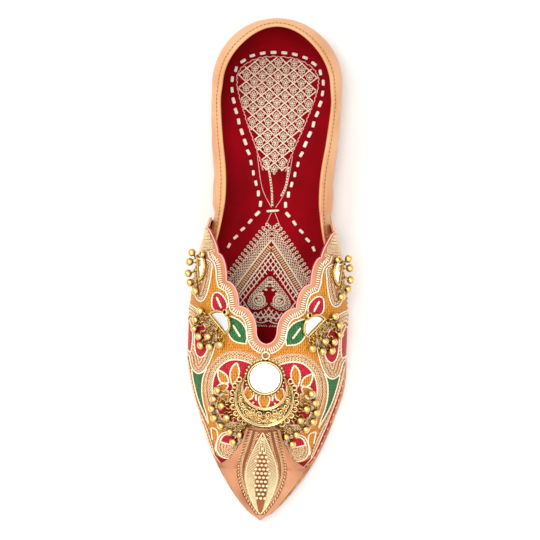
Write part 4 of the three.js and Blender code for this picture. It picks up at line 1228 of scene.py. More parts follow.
def build_vamp_threads():
    cord_mesh, loop_mesh, knot_mesh = bmesh.new(), bmesh.new(), bmesh.new()

    def bound(line):
        limit = np.interp(line[:, 1], border_line[:, 1], border_line[:, 0])
        on_half = (line[:, 0] < limit + 0.3) & (line[:, 0] > -0.01)
        return on_half & (away(line, edge_line) > TAN_EDGE - 0.2) & on_wing(line)

    for name, (kind, line) in area_lines.items():
        if name not in ("wing", "lining strip", "medallion"):
            for part in split(line, bound(line)):
                cords(cord_mesh, on_vamp, part)
    for line in petal_lines:
        cords(cord_mesh, on_vamp, line, radius=0.5)
    cords(cord_mesh, on_vamp, middle_line)
    for vein in ([(18.3, 167.2), (16.3, 170.2), (14, 173.6)], [(27.8, 152.4), (26.2, 155.4), (24.8, 158.6)],
                 [(4.6, 203), (4.4, 208)], [(5.6, 208.5), (7.2, 212)]):
        cords(cord_mesh, on_vamp, curve(vein), radius=0.65)

    def band(line, side, wanted, **rows):
        """Rows beside a line, by kind: the distances of its cords, ribs, loops and knots."""
        for kind, offsets in rows.items():
            for offset in offsets:
                moved, clear = shifted(line, side * offset)
                for part in split(moved, clear & (moved[:, 0] > 0) & on_wing(moved)):
                    if kind == "cord":
                        cords(cord_mesh, on_vamp, part)
                    elif kind == "ribs":
                        stitches(cord_mesh, plump_stitch, on_vamp, part, 1.2, size=RIB, sway=0.25,
                                 wanted=wanted)
                    elif kind == "knots":
                        stitches(knot_mesh, plump_stitch, on_vamp, part, 2.6, 0.4, (0.5, 0.42, 0.3),
                                 wanted=wanted)
                    else:
                        stitches(loop_mesh, loop_stitch, on_vamp, part, 1.9, wanted=wanted)

    # The topline runs from the wing to the throat, with the embroidery outside it
    side = 1 if shifted(edge_line, 1.0)[0][20][0] > edge_line[20][0] else -1
    band(edge_line[edge_line[:, 1] > WING_ROOT - 3], side, net_only, cord=(5.2,), ribs=(3.4,))
    inner = towards(medallion_line, 30, area_lines["medallion"][1])
    band(medallion_line, inner, net_only, cord=(0.0, 5.2), loops=(1.4, 3.0, 4.2), knots=(2.2,))
    for name in ("drop", "paisley", "lower lobe"):
        line = area_lines[name][1]
        band(line, towards(line, 10, line), net_only, loops=(1.35, 2.95, 4.55, 6.1), knots=(2.15, 5.3))
    side = 1 if shifted(border_line, 1.0)[0][60][0] > border_line[60][0] else -1
    band(border_line, side, net_only, cord=(0.0, 2.7), loops=(1.35, 4.2, 5.8, 7.4, 9.0),
         knots=(0.7, 5.0, 8.2))
    fill_mesh = bmesh.new()
    fill_vamp_net(fill_mesh, [vert.co for mesh in (cord_mesh, loop_mesh, knot_mesh) for vert in mesh.verts])
    finished("vamp_filling_stitches", fill_mesh, zari_gold, merge=0)
    finished("vamp_cords", cord_mesh, zari_cream, merge=1e-4)
    finished("vamp_chain_stitches", loop_mesh, zari_gold, merge=0)
    finished("vamp_knots", knot_mesh, knot_brown, merge=0)


build_vamp_threads()


def build_piping():
    bm, under, welt, seam = bmesh.new(), bmesh.new(), bmesh.new(), bmesh.new()
    line = even(np.array([(half, along) for along, half in make_topline(40)]), 0.35)
    for sign in SIDES:
        tube(bm, [vamp_skin(along, x, 1, 0.05, sign) for x, along in line], 0.36, sides=7, lobes=0.12,
             pitch=1.2)
        tube(under, [vamp_skin(along, x, 1, -0.75, sign) for x, along in line], 0.42)
        # Cord between the vamp and the sole, caught down with white stitches
        foot = []
        for along in np.arange(THROAT + 14, CAP_FULL + 6, 0.8):
            place = skin(row_at(along), sign, -0.9, under_cap(along) - 0.35)
            place.x += (RAND - 0.2) * rand_share(along) if sign > 0 else -0.5
            foot.append(place)
        tube(welt, foot, 0.75, sides=7)
        for start, end in zip(foot[4::5], foot[6::5]):
            low, high = Vector((sign * 0.55, 0, 0.35)), Vector((sign * 0.75, 0, 0.5))
            tube(seam, [start + low, (start + end) / 2 + high, end + low], 0.28)
    for name, mesh, thread in (("vamp_piping", bm, pink), ("vamp_edge_lining", under, wine_cord),
                               ("sole_cord", welt, wine_cord), ("sole_stitches", seam, cotton)):
        finished(name, mesh, thread)


build_piping()


# Footbed embroidery, half of it drawn as (across, along) where both halves are alike
TEARDROP = [(0, 20.2), (8.5, 20.9), (16.8, 24.2), (21.6, 29.4), (22.3, 35), (20.6, 43), (15.6, 57.5),
            (10.4, 70.5), (7, 80), (6.2, 83)]
CHEVRON = [(0, 112.4), (0, 112.4), (4.6, 117.4), (12.6, 128.4), (20.2, 139.6), (28.5, 152)]
HEART = [(0, 138), (0, 138), (6.6, 145.3), (11.8, 152), (12.6, 156.4), (9.8, 159.6), (5.6, 160), (2, 158.2),
         (0, 156.6), (0, 156.6)]
ROPES = [[(-5.2, 76.8), (-3.1, 81.9), (-1.1, 92.6), (-0.4, 102.2)], [(7.8, 80.1), (6.8, 90.2), (4.2, 96.6)]]
DRAWN = [[(-9.6, 74), (-6.3, 92.2), (-0.6, 103)], [(9.8, 74), (6.9, 92.3), (1.4, 103)],
         [(-0.6, 105.4), (-4.9, 116.2)], [(1.2, 105.4), (5.5, 115.6)]]
SPIRAL = (5.5, 153.7)
CELL_WIDE, CELL_LONG, NET_PITCH = 8.6, 7.3, 2.9
# Clover of one cell: the way each of its loops points, in degrees, and how far out it lies
CLOVER = [(90, 1.3), (25, 1.7), (155, 1.7), (-35, 1.1), (-145, 1.1), (-90, 1.9)]


def build_footbed_threads():
    teardrop, chevron, heart = curve(TEARDROP), curve(CHEVRON), curve(HEART)
    net, loops, thick, rose, band_mesh = (bmesh.new() for _ in range(5))
    heel_shape, heart_shape = both_halves(teardrop), both_halves(heart)

    def sewn(line, pitch=1.85, lift=0.3, size=(1.0, 1.0, 1.2)):
        stitches(loops, loop_stitch, on_insole, line, pitch, lift, size)

    # Diamonds over the heel with a clover in each
    steps = np.linspace(0, 18, 150)
    for rising in SIDES:
        for index in range(-14, 15):
            line = np.stack([(index + rising * steps / 2) * CELL_WIDE, 20 + steps * CELL_LONG / 2], axis=1)
            for part in split(line, inside(line, heel_shape)):
                cords(loops, on_insole, part, radius=0.36, lift=0.2, both=False, lobes=0.35, pitch=1.3)
    for row in range(18):
        for column in range(-4, 5):
            spot = np.array([(column + 0.5 * (row % 2)) * CELL_WIDE, 23.6 + row * CELL_LONG / 2])
            outline = teardrop * (math.copysign(1, spot[0]), 1)
            if inside(spot[None], heel_shape)[0] and away(spot[None], outline)[0] > 1.6:
                for turn, reach in CLOVER:
                    way = Vector((*polar(1, math.radians(turn)), 0))
                    place = on_insole(spot[0], spot[1], 0.35) + way * reach
                    lay(loops, loop_stitch, basis(way, Vector((0, 0, 1)), place,
                                                  rough_hand.uniform(0.8, 1.0)))
                set_down(loops, plump_stitch, on_insole(spot[0], spot[1], 0.4), (0.6, 0.6, 0.5))
    ragged = teardrop + np.array([(0.35 * math.sin(2.1 * k),
                                   0.25 * math.sin(1.3 * k)) for k in range(len(teardrop))])
    cords(rose, on_insole, ragged, radius=0.28, lift=0.15, lobes=0.1)
    stitches(thick, flat_stitch, on_insole, running_line, 5.8, lift=0.15, size=BLOCK, sway=0.24)
    for rope in ROPES:
        for lean in (0.75, -0.75):
            stitches(loops, plump_stitch, on_insole, curve(rope), 1.5, size=(1.0, 0.36, 0.4), lean=lean,
                     sway=0.15, both=False)
    for thread in DRAWN:
        cords(rose, on_insole, curve(thread), radius=0.22, lift=0.12, lobes=0.0, both=False)
    bar = [on_insole(x, 104.6 - 0.1 * x, 0.9 - 0.05 * x * x) for x in np.linspace(-3.7, 3.7, 12)]
    tube(thick, bar, 0.68, sides=7, lobes=0.12, pitch=1.6)

    # Chevron of the forefoot: looped edge, rows of loops, ribs between two cords
    inward = 1 if shifted(chevron, 1.0)[0][20][1] > chevron[20][1] else -1

    def inset(distance):
        moved, clear = shifted(chevron, inward * distance)
        return split(moved, clear & (moved[:, 0] >= -0.05))

    for step in range(17):
        along = mix(113.5, 147, step / 16)
        half = float(np.interp(along, chevron[:, 1], chevron[:, 0]))
        sewn([(half - 0.4, along + 0.3), (half + 1.1, along - 0.9), (half + 2.4, along - 1.9)], 1.5)
    for distance in (1.0, 2.8, 4.5):
        for part in inset(distance):
            sewn(part)
    for distance in (5.6, 9.3):
        for part in inset(distance):
            cords(net, on_insole, part, radius=0.5, lift=0.35, lobes=0.3)
    for part in inset(7.4):
        stitches(band_mesh, plump_stitch, on_insole, part, 1.25, lift=0.15, size=(0.52, 1.5, 0.5),
                 sway=0.06)

    # Open net around a heart of loops with a knotted spiral in each half
    inner = inset(9.6)[0]
    field = np.concatenate([inner, [(30, 165.5)], [(-30, 165.5)], inner[::-1] * (-1, 1)])
    for rising in SIDES:
        for index in range(-40, 41):
            steps = np.linspace(0, 44, 110)
            line = np.stack([index * NET_PITCH + rising * steps * 0.72, 122 + steps], axis=1)
            keep = inside(line, field) & ~inside(line, heart_shape) & (np.abs(line[:, 0]) < 21)
            for part in split(line, keep):
                cords(net, on_insole, part, radius=0.33, lift=0.18, both=False, lobes=0.15)
    into = towards(heart, 12, heart_shape)
    for distance in (0.0, 1.7, 3.4):
        moved, clear = shifted(heart, into * distance)
        for part in split(moved, clear & (moved[:, 0] >= -0.05)):
            sewn(part, 1.6, 0.4, (1.0, 0.95, 1.3))
    for turns, reach, size in ((1.0, 3.2, (1.0, 0.55, 0.6)), (0.85, 1.8, KNOT)):
        ring = [np.add(SPIRAL, polar(reach, turn)) for turn in np.linspace(0, math.tau * turns + 0.01, 24)]
        stitches(loops, plump_stitch, on_insole, ring, 1.25, 0.4, size)
    for sign in SIDES:
        set_down(loops, plump_stitch, on_insole(sign * SPIRAL[0], SPIRAL[1], 0.5), (1.1, 1.0, 0.9))
    for along, step in ((141.5, 2.2), (146, 2.0)):
        for index in range(3):
            for sign in SIDES:
                across = sign * index * step * (0.4 if along < 143 else 1.0)
                set_down(loops, plump_stitch, on_insole(across, along + index * step, 0.45), KNOT)
    for along in (162.8, 165.6):
        cords(net, on_insole, curve([(0, along - 0.8), (4, along + 0.7), (9, along - 0.6),
                                     (15, along - 2)]), radius=0.36)
    stitches(net, plump_stitch, on_insole, curve([(0.4, 167.8), (6, 167.8), (12, 166.6)]), 1.3,
             size=(0.95, 0.3, 0.3), lean=0.6)
    for name, bm, thread in (("net", net, zari_net), ("ribbed_band", band_mesh, zari_tan),
                             ("chain_stitches", loops, zari_net),
                             ("running_stitches", thick, cotton), ("drawn_threads", rose, pink)):
        finished(f"footbed_{name}", bm, thread, merge=0)


build_footbed_threads()


# Toe cap: a leather nose with a gilt leaf down its middle, stitched brown bands beside it and plain flanks
CAP_LEAF = [(0, 225), (0, 225), (2.8, 231), (5.6, 238), (8.1, 245), (8.4, 251), (6.4, 259), (3.2, 266.5),
            (0, 270.5), (0, 270.5)]
CAP_CORD = [(8.1, 223.6), (9.6, 230), (11.8, 238), (13.6, 245), (13, 251.5), (10.6, 258.5), (6.6, 265.5),
            (2.4, 271)]
cap_leaf, cap_cord = curve(CAP_LEAF), curve(CAP_CORD)
CAP_FOLD, CAP_FOLD_LENGTH = 1.3, 20
# Pleats and the valleys between them, as middle and width in shares of the cord's half width, and height
PLEATS = [(0.62, 0.09, 1), (0.93, 0.08, 0.8), (0.79, 0.07, -0.8), (0.44, 0.08, -0.5)]


def pleat_height(across, along):
    """The cap's free end is gathered into two pleats a side, which die out towards the toe."""
    share = abs(across) / float(np.interp(along, [CAP_BACK, 232, 246, 262], [8.6, 12.0, 16.5, 17]))
    fade = math.exp(-((max(along - CAP_BACK, 0) / CAP_FOLD_LENGTH) ** 1.6))
    return CAP_FOLD * fade * sum(height * math.exp(-(((share - middle) / width) ** 2)) for middle, width,
                                 height in PLEATS)


def on_pleats(across, along, lift=0.0):
    return on_cap(across, along, lift) + Vector((0, 0, pleat_height(across, along)))


def build_toe_cap():
    bm = bmesh.new()
    columns, rows = 84, 90
    places = [mix(CAP_BACK, LENGTH - 0.02, (j / (rows - 1)) ** 1.1) for j in range(rows)]

    def place(i, j):
        along = places[j]
        level = mix(max(cap_low(along), -1.0), 1.0, i / (columns - 1))
        point = cap_skin(along, 1, level)
        point.z += pleat_height(point.x, along) - 0.35 * math.exp(-(((along - CAP_BACK) / 1.0) ** 2))
        return point

    sheet(bm, columns, rows, place)
    mirrored(bm)
    if sum(face.normal.z for face in bm.faces) < 0:
        bmesh.ops.reverse_faces(bm, faces=bm.faces)
    bmesh.ops.solidify(bm, geom=bm.faces[:] + bm.edges[:] + bm.verts[:], thickness=CAP_WALL - 0.2)
    shape = both_halves(cap_cord)
    middles = [face.calc_center_median() for face in bm.faces]
    plan = np.array([(middle.x, LENGTH / 2 - middle.y) for middle in middles])
    for face, under_stitches in zip(bm.faces, inside(plan, shape)):
        face.material_index = int(under_stitches)
    finished("toe_cap_leather", bm, [cap_tan, band_brown], ["toe_cap"])


build_toe_cap()


def build_cap_threads():
    pale, brown = bmesh.new(), bmesh.new()
    into = towards(cap_cord, 10, both_halves(cap_cord))
    cords(pale, on_pleats, cap_leaf, radius=0.36, lift=0.15)
    # Blanket stitches slant from the leaf's edge in towards the toe
    for step in range(54):
        along = mix(227, 267.5, step / 53)
        half = float(np.interp(along, cap_leaf[:, 1], cap_leaf[:, 0]))
        for sign in SIDES:
            shares = np.linspace(0.35, 1.16, 7)
            line = [on_pleats(sign * half * t, along + (1.16 - t) * half * 0.55, 0.2) for t in shares]
            tube(pale, line, 0.27, sides=4)
    for across in (0.35, 1.05):
        cords(pale, on_pleats, curve([(across * 0.5, 227.5), (across, 231), (across * 1.6, 236)]),
              radius=0.27, lift=0.2)
    # Knots down the middle of the leaf, in rows like scales
    for row in range(13):
        along = 234 + 2.3 * row
        half = float(np.interp(along, cap_leaf[:, 1], cap_leaf[:, 0])) * 0.5
        for column in range(-2, 3):
            across = (column + 0.5 * (row % 2)) * 2.1
            if abs(across) < half:
                place = on_pleats(across, along, 0.45)
                set_down(pale, plump_stitch, place, (1.0, 0.85, 0.6))

    def beside(offset):
        moved, clear = shifted(cap_cord, into * offset)
        leaf_half = np.interp(moved[:, 1], cap_leaf[:, 1], cap_leaf[:, 0])
        return split(moved, clear & (moved[:, 0] > leaf_half + 0.8) & (moved[:, 0] > 0.4))

    for part in beside(0.0):
        cords(pale, on_pleats, part, radius=0.42, lift=0.2)
    for offset in (1.0, 6.3):
        for part in beside(offset):
            stitches(brown, plump_stitch, on_pleats, part, 1.9, 0.2, (0.95, 0.3, 0.35), 0.55, 0.12)
    for offset, lean in ((1.9, 0.9), (2.6, -0.9), (4.7, 0.9), (5.4, -0.9)):
        for part in beside(offset):
            stitches(brown, plump_stitch, on_pleats, part, 1.05, 0.05, (0.7, 0.24, 0.25), lean, 0.15)
    finished("cap_gilt_leaf", pale, zari_pale, merge=0)
    finished("cap_band_stitches", brown, zari_brown, merge=0)


build_cap_threads()


# Metalwork: sizes in the pendant's and the charms' own planes
BEZEL, SEAT, BEADS, BEZEL_UP, BEZEL_HIGH = 9.65, 8.7, 10.9, 12, 2.4
CRESCENT, HOLLOW, HOLLOW_UP, LOOP_UP = 16.2, 11.5, 6.6, 24.6
CHARM, CHARM_PAST, CHARM_FRAME, BEAD, BALL, CHAIN = 7.3, 1.1, 1.0, 1.95, 2.05, 1.0
CHAIN_FROM, CHAIN_TO = -25, 62
CHARMS = {"upper": (0.824, 0.4964, 8, -141), "lower": (0.551, 0.6004, 42, -170)}
BALLS = {
    "upper": [(0.97, -0.95), (1.1, -0.25), (1.18, 0.62), (1, 1.31), (0.55, 1.9)],
    "lower": [(1.73, -0.53), (2.07, 0.12), (2.14, 0.81), (1.74, 1.36), (1.07, 1.33), (1.59, 2.01),
              (0.93, 2.07), (0.16, 1.88)],
    "pendant": [(1.58, -0.2), (1.7, 0.1), (1.75, 0.43), (1.66, 0.74), (1.42, 0.31), (1.43, 1), (1.23, 0.7),
                (1.12, 1.19), (0.99, 1.52), (0.77, 1.28)],
}


def vamp_top(across, along):
    row, squarer = row_at(along), wing_square(along)
    return skin(row, -1 if across < 0 else 1, level_of(row, max(abs(across), 0.001), 0, squarer), 0,
                squarer)


def vamp_normal(across, along):
    step = 0.5
    rise = (vamp_top(across + step, along).z - vamp_top(across - step, along).z) / (2 * step)
    run = (vamp_top(across, along - step).z - vamp_top(across, along + step).z) / (2 * step)
    return Vector((-rise, -run, 1)).normalized()


def pendant_plane():
    back, front = PENDANT_PLACE - LOOP_UP, PENDANT_PLACE + CRESCENT
    high, low_end = vamp_top(0, back).z, vamp_top(0, front).z
    lift, along = FIT, back
    while along < front:
        chord = mix(high, low_end, (along - back) / (front - back))
        lift = max(lift, vamp_top(0, along).z - chord + FIT)
        along += BALL
    centre = Vector((0, LENGTH / 2 - PENDANT_PLACE,
                     mix(high, low_end, (PENDANT_PLACE - back) / (front - back)) + lift))
    return Matrix.Translation(centre) @ Matrix.Rotation(math.atan2(high - low_end, front - back), 4, "X")


def charm_plane(name, sign):
    across, along, swing, _ = CHARMS[name]
    across, along = sign * across * BALL_HALF, along * LENGTH
    normal = vamp_normal(across, along)
    swing = math.radians(swing)
    out = Vector((sign * math.cos(swing), -math.sin(swing), 0))
    out = (out - normal * out.dot(normal)).normalized()
    place = vamp_top(across, along) + normal * FIT
    return Matrix.Translation(place) @ Matrix((out, normal.cross(out), normal)).transposed().to_4x4()


def ball_seat(across, along):
    row, sign = row_at(along), -1 if across < 0 else 1
    low_level, high_level = 0.22, 1.0
    for _ in range(30):
        level = (low_level + high_level) / 2
        here, after = skin(row, sign, level), skin(row, sign, level + 0.01)
        normal = Vector((sign * (after.z - here.z), 0, sign * (here.x - after.x))).normalized()
        place = here + normal * (BALL + FIT)
        if abs(place.x) > abs(across):
            low_level = level
        else:
            high_level = level
    place.x = across
    return place


def lathe(bm, profile, steps):
    verts = [bm.verts.new((radius, 0, height)) for radius, height in profile]
    edges = [bm.edges.new(pair) for pair in zip(verts, verts[1:])]
    bmesh.ops.spin(bm, geom=verts + edges, axis=(0, 0, 1), cent=(0, 0, 0), steps=steps, angle=math.tau,
                   use_merge=True)
    bmesh.ops.remove_doubles(bm, verts=bm.verts, dist=1e-4)


def bell_shape(bm):
    bmesh.ops.create_uvsphere(bm, u_segments=18, v_segments=12, radius=1.07 * BALL)
    # A raised seam where the two halves meet
    for vert in bm.verts:
        vert.co *= 1 + 0.02 * math.exp(-((vert.co.z / 0.25) ** 2))


BEAD_PROFILE = [(0.9, -1.0), (0.95, -1.45), (1.3, -1.5), (1.75, -0.9), (BEAD, 0), (1.75, 0.9), (1.3, 1.5),
                (0.95, 1.45), (0.9, 1.0), (0.88, -0.6), (0.05, -0.7)]
BEZEL_PROFILE = [(SEAT - 0.1, 0.2), (SEAT, BEZEL_HIGH - 0.35), (SEAT + 0.15, BEZEL_HIGH - 0.05),
                 (SEAT + 0.45, BEZEL_HIGH), (BEZEL - 0.1, BEZEL_HIGH - 0.25), (BEZEL, BEZEL_HIGH - 0.7),
                 (BEZEL, 0.9), (BEADS - 0.2, 0.8), (BEADS - 0.1, 0.5), (BEADS - 0.2, 0.1)]
MIRROR_PROFILE = [(0.0, 0.3), (8.45, 0.3), (8.5, 1.5), (8.3, 1.8), (8.1, 1.84), (7.9, 1.84), (0.0, 1.84)]
jump_ring = unit(lambda bm: ring_shape(bm, 1.42, 0.36, steps=16, sides=6))
small_ring = unit(lambda bm: ring_shape(bm, 1.35, 0.46, steps=16, sides=6))
loop_ring = unit(lambda bm: ring_shape(bm, 2.0, 0.6, steps=24, sides=8))
grain = unit(lambda bm: bmesh.ops.create_icosphere(bm, subdivisions=2, radius=1.0))
bell = unit(bell_shape)
bored_bead = unit(lambda bm: lathe(bm, BEAD_PROFILE, 18))
bezel_ring = unit(lambda bm: lathe(bm, BEZEL_PROFILE, 72))
round_mirror = unit(lambda bm: lathe(bm, MIRROR_PROFILE, 56))

# The crescent's ground and what stands on it, on its right half: scrolls as (x, y, size, turns, start, hand),
# rings as (x, y, size), leaves as (x, y, half length, direction in degrees)
GROUND = 0.85
RIM = [(0, 0), (0, 1.6), (0.25, 1.95), (0.6, 1.95), (0.85, 1.5), (1.0, 1.5), (1.2, 1.8), (1.45, 1.8),
       (1.65, GROUND)]
SCROLLS = [(2.35, -8.9, 1.85, 1.7, 3.3, -1), (2.3, -12.2, 1.55, 1.5, 2.2, 1),
           (6.5, -10.6, 1.35, 1.4, 0.4, 1), (9.5, -7.6, 2.0, 1.7, 2.9, -1), (11.9, -3.7, 1.5, 1.5, 4.2, 1),
           (12.5, 0.1, 1.15, 1.4, 2.0, -1), (12.5, 3.2, 0.9, 1.2, 4.4, 1), (12.2, 6.0, 0.65, 1.1, 2.4, -1)]
STUDS = [(0, -11.2, 0.75), (5.9, -7.1, 0.95), (0, -14.1, 0.6), (4.4, -13.3, 0.55), (9.4, -11.0, 0.6),
         (14.0, -2.2, 0.5), (13.8, 1.8, 0.45)]
LEAVES = [(7.6, -5.4, 1.1, 35), (11.9, -6.4, 1.3, 60), (10.7, -9.7, 1.1, 40), (8.4, -12.2, 1.0, 30),
          (3.9, -6.4, 1.0, 10), (4.5, -10.9, 0.9, -60), (0, -6.6, 0.8, 90), (10.3, -1.9, 1.0, 75),
          (10.9, 1.6, 0.8, 85)]
SIDE_RINGS = (37, 23, 9, -5, -18, -31, -43, -54)


def plate_crescent(bm):
    """The crescent between its two circles, with a raised double rim along both and a sunk ground."""
    tip = (CRESCENT**2 - HOLLOW**2 + HOLLOW_UP**2) / (2 * HOLLOW_UP)
    out = math.sqrt(CRESCENT**2 - tip**2)
    outer_from, inner_from = math.atan2(tip, out), math.atan2(tip - HOLLOW_UP, out)
    steps, last = 90, 2 * len(RIM) - 1

    def place(i, j):
        t = j / (steps - 1)
        outer_turn, inner_turn = (mix(start, -math.pi - start, t) for start in (outer_from, inner_from))
        outer = CRESCENT * Vector((math.cos(outer_turn), math.sin(outer_turn), 0))
        inner = Vector((HOLLOW * math.cos(inner_turn), HOLLOW_UP + HOLLOW * math.sin(inner_turn), 0))
        width = (outer - inner).length
        across = (outer - inner) / width if width > 1e-6 else Vector((0, 0, 0))
        far, high = RIM[min(i, last - i)]
        far *= min(width / 4.2, 1.0)
        return (outer - across * far if i < len(RIM) else inner + across * far) + Vector((0, 0, high))

    sheet(bm, 2 * len(RIM), steps, place)
    for face in bm.faces:
        face.material_index = int(all(abs(vert.co.z - GROUND) < 1e-3 for vert in face.verts))
    bmesh.ops.remove_doubles(bm, verts=bm.verts, dist=1e-4)


def pendant_relief(bm):
    for side in SIDES:
        for x, y, size, turns, start, hand in SCROLLS:
            line = []
            for t in np.linspace(0.1, 1, 30):
                right, up = polar(size * t, start + hand * turns * math.tau * t)
                line.append((side * (x + right), y + up, GROUND + 0.45))
            tube(bm, line, 0.3, sides=6)
        for x, y, size in STUDS:
            spot = Matrix.Translation((side * x, y, GROUND + 0.35))
            lay(bm, small_ring, spot @ Matrix.Scale(size * 0.8, 4))
            lay(bm, grain, spot @ Matrix.Scale(size * 0.4, 4))
        for x, y, size, turn in LEAVES:
            turned = Matrix.Rotation(math.radians(turn if side > 0 else 180 - turn), 4, "Z")
            set_down(bm, grain, (0, 0, 0), (size, 0.42, 0.5),
                     Matrix.Translation((side * x, y, GROUND + 0.2)) @ turned)
        for angle in range(-88, 32, 6):
            right, up = polar(14.2, math.radians(angle))
            set_down(bm, grain, (side * right, up, GROUND + 0.15), (0.3, 0.3, 0.3))
        for angle in SIDE_RINGS:
            right, up = polar(17.4, math.radians(angle))
            lay(bm, small_ring, Matrix.Translation((side * right, up, 1.0)))
    lay(bm, loop_ring, Matrix.Translation((0, LOOP_UP, 1.0)))


def build_pendant():
    plane = pendant_plane()
    raised = Matrix.Translation((0, BEZEL_UP, 0))
    bm = bmesh.new()
    lay(bm, unit(plate_crescent), plane)
    lay(bm, unit(pendant_relief), plane)
    lay(bm, bezel_ring, plane @ raised)
    for index in range(32):
        turned = plane @ raised @ Matrix.Rotation(math.tau * index / 32, 4, "Z")
        set_down(bm, grain, (10.55, 0, 1.15), (0.75, 0.58, 0.62), turned)
    finished("pendant_cast", bm, [brass, brass_floor], ["pendant"], merge=0)
    glass = bmesh.new()
    lay(glass, round_mirror, plane @ raised)
    finished("pendant_mirror_glass", glass, silvered, ["pendant_mirror"])


build_pendant()


def half_moon(inset):
    """Outline of a charm, drawn in by an inset: the round side, then the flat one."""
    radius, past = CHARM - inset, CHARM_PAST - inset
    opening = math.acos(past / radius)
    turns = np.linspace(opening, 2 * math.pi - opening, 26)
    points = [((CHARM - CHARM_PAST) / 2 + radius * math.cos(turn), radius * math.sin(turn)) for turn in turns]
    flat = [(points[-1][0], y) for y in np.linspace(points[-1][1], points[0][1], 8)[1:]]
    return points + flat


def build_charm(name, sign):
    side = "left" if sign < 0 else "right"
    plane = charm_plane(name, sign)

    def frame_shape(made):
        rings = [(0.0, 0.0), (0.0, 1.3), (0.2, 1.85), (0.5, 2.05), (0.8, 1.9), (CHARM_FRAME, 1.4),
                 (CHARM_FRAME, 0.3)]
        lines = [half_moon(inset) for inset, _ in rings]
        sheet(made, len(rings), len(lines[0]), lambda i, j: Vector((*lines[i][j], rings[i][1])))
        bmesh.ops.remove_doubles(made, verts=made.verts, dist=1e-4)

    bm = bmesh.new()
    lay(bm, unit(frame_shape), plane)
    for x, y in even(np.array(half_moon(0.1)), 0.95)[:-1]:
        set_down(bm, grain, (x, y, 1.2), (0.5, 0.38, 0.72), plane)
    right, up = polar(CHARM + BEAD / 2, -sign * math.radians(CHARMS[name][3]))
    spot = ((CHARM - CHARM_PAST) / 2 + right, up, BEAD)
    tip_over = Matrix.Rotation(-sign * 0.25, 4, "X")
    lay(bm, bored_bead, plane @ Matrix.Translation(spot) @ tip_over)
    finished(f"charm_bezel_{name}_{side}", bm, brass_beads, [f"charm_{name}_{side}"], merge=0)

    # The mirror: an edge, a narrow bevel and a face that rises a little to its middle
    glass = bmesh.new()
    edges = [half_moon(inset) for inset in (1.02, 1.02, 1.5)]
    highs = (0.2, 1.25, 1.5)

    def place(i, j):
        if i < len(edges):
            return Vector((*edges[i][j], highs[i]))
        in_to = (i - 2) / 3
        return Vector((mix(edges[2][j][0], 0.0, in_to), mix(edges[2][j][1], 0.0, in_to),
                       1.5 + 0.03 * (i - 2)))

    sheet(glass, 6, len(edges[0]), place)
    bmesh.ops.transform(glass, matrix=plane, verts=glass.verts)
    finished(f"charm_glass_{name}_{side}", glass, silvered, [f"charm_mirror_{name}_{side}"])


def hang(bm, anchor, centre, turn):
    """A ball with its loop, and jump rings back to where it hangs from."""
    way = anchor - centre
    length = way.length
    way.normalize()
    lay(bm, bell, basis(way, Vector((0.3, 0.2, 1)), centre) @ Matrix.Rotation(QUARTER_TURN, 4, "Y"))
    span = length - BALL
    count = max(int(round(span / 2.2)), 1)
    cross = way.cross(Vector((0, 0, 1))).normalized()
    for index in range(count):
        place = centre + way * (BALL + span * (index + 0.5) / count)
        normal = way.cross(cross) if (index + turn) % 2 else cross
        normal = (normal + Vector((0, 0, 0.35))).normalized()
        lay(bm, jump_ring, basis(way, normal, place, 0.9 if count > 1 else 0.8))


def build_bells(name, sign):
    side = "left" if sign < 0 else "right"
    bm = bmesh.new()
    if name == "pendant":
        plane, radius, middle = pendant_plane(), CRESCENT, (0, PENDANT_PLACE)
        reach = CRESCENT + FIT + CHAIN / 2
        angles = np.radians(np.linspace(CHAIN_FROM, CHAIN_TO, 12))
        for index, angle in enumerate(angles):
            right, up = polar(1, angle)
            spot = Vector((sign * reach * right, -reach * up, 0.8))
            normal = Vector((0, 0, 1)) if index % 2 else Vector((right * sign, -up, 0.5)).normalized()
            lay(bm, jump_ring, plane @ basis(Vector((-sign * up, -right, 0)), normal, spot, 0.85))
    else:
        plane, radius = charm_plane(name, sign), CHARM
        middle = (CHARMS[name][0] * BALL_HALF, CHARMS[name][1] * LENGTH)
        out, half = (CHARM + CHARM_PAST) / 2 + FIT + CHAIN / 2, CHARM - CHAIN
        bar = [plane @ Vector((out, y, CHAIN)) for y in np.linspace(-half, half, 10)]
        tube(bm, bar, 0.42, sides=8)
        upright = Matrix.Rotation(QUARTER_TURN, 4, "X") @ Matrix.Scale(0.75, 4)
        for y in np.linspace(-half, half, 6):
            lay(bm, jump_ring, plane @ Matrix.Translation((out, y, CHAIN)) @ upright)
    back = plane.inverted()
    for index, (across, along) in enumerate(BALLS[name]):
        centre = ball_seat(sign * (middle[0] + across * radius), middle[1] + along * radius)
        local = back @ centre
        if name == "pendant":
            angle = min(max(math.atan2(-local.y, abs(local.x)), angles[0]), angles[-1])
            right, up = polar(reach, angle)
            anchor = plane @ Vector((sign * right, -up, 0.8))
        else:
            anchor = plane @ Vector((out, min(max(local.y, -half), half), CHAIN))
        hang(bm, anchor, centre, index)
    finished(f"bell_bunch_{name}_{side}", bm, brass_beads, [f"bells_{name}_{side}"], merge=0)


for hand in SIDES:
    for charm in CHARMS:
        build_charm(charm, hand)
    for bunch in BALLS:
        build_bells(bunch, hand)


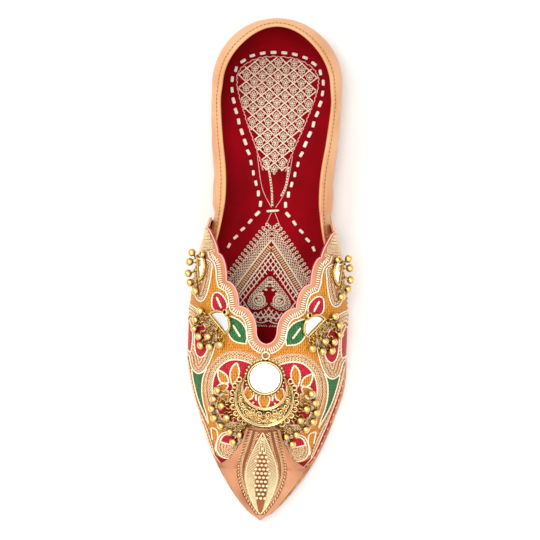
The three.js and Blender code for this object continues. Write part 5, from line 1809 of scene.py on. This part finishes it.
# Camera, floor and light
def build_stage():
    bm = bmesh.new()
    bmesh.ops.create_grid(bm, x_segments=1, y_segments=1, size=3)
    mesh = bpy.data.meshes.new("floor")
    bm.to_mesh(mesh)
    bm.free()
    floor = bpy.data.objects.new("floor", mesh)
    bpy.context.scene.collection.objects.link(floor)
    # White matt paper, lit evenly
    material, tree, shader, place = new_material("white matt paper", Roughness=0.9, Specular_IOR_Level=0.1)
    fibre = node(tree, "ShaderNodeTexNoise", {"Vector": place, "Scale": per_metre(40), "Detail": 2.0})
    colour = node(tree, "ShaderNodeValToRGB", {"Fac": fibre}, [(0.3, "#F8F8F8"), (0.7, "#FBFBFB")])
    connect(tree, shader, {"Base Color": colour})
    mesh.materials.append(material)

    scene = bpy.context.scene
    world = bpy.data.worlds.new("soft studio")
    scene.world = world
    world.use_nodes = True
    # White overhead and dimmer towards the horizon, so that the rounded metal is modelled
    tree = world.node_tree
    height = node(tree, "ShaderNodeSeparateXYZ",
                  {"Vector": node(tree, "ShaderNodeTexCoord").outputs["Generated"]})
    sky = node(tree, "ShaderNodeValToRGB", {"Fac": height.outputs["Z"]},
               [(0.0, "#7C7468"), (0.6, "#FFFFFF")])
    connect(tree, tree.nodes["Background"], {"Color": sky, "Strength": 0.97})

    def lamp(name, place, aim, size, power):
        data = bpy.data.lights.new(name, "AREA")
        data.shape, data.size, data.energy = "DISK", size, power
        made = bpy.data.objects.new(name, data)
        made.location = place
        made.rotation_mode = "QUATERNION"
        made.rotation_quaternion = (Vector(aim) - Vector(place)).to_track_quat("-Z", "Y")
        scene.collection.objects.link(made)

    lamp("key", (-0.7, 0.5, 1.3), (0, 0, 0), 0.6, 6)
    lamp("overhead", (-0.2, 0.35, 2.8), (0, 0, 0), 0.7, 15)
    lamp("fill", (0.9, -0.3, 1.1), (0, 0, 0), 1.0, 2)
    lamp("panel over the toe", (0, -0.96, 1.15), (0, 0, 0), 0.9, 3)

    # The photograph looks straight down from about 2.5 m at a width of 297 mm, 43 mm to the shoe's right
    distance, seen = 2.5, 0.297
    data = bpy.data.cameras.new("camera")
    camera = bpy.data.objects.new("camera", data)
    scene.collection.objects.link(camera)
    scene.camera = camera
    data.sensor_width = 36
    data.lens = data.sensor_width * distance / seen
    data.clip_start, data.clip_end = 0.1, 10
    eye, aim = Vector((0.043, 0.016, distance)), Vector((0.0, 0.0, 0.02))
    camera.location = eye
    look = (aim - eye).normalized()
    roll = math.radians(2.3)
    top = Vector((-math.sin(roll), math.cos(roll), 0))
    right = look.cross(top).normalized()
    up = right.cross(look)
    camera.rotation_mode = "QUATERNION"
    camera.rotation_quaternion = Matrix((right, up, -look)).transposed().to_quaternion()
    scene.view_settings.view_transform = "Standard"
    scene.view_settings.look = "None"


build_stage()
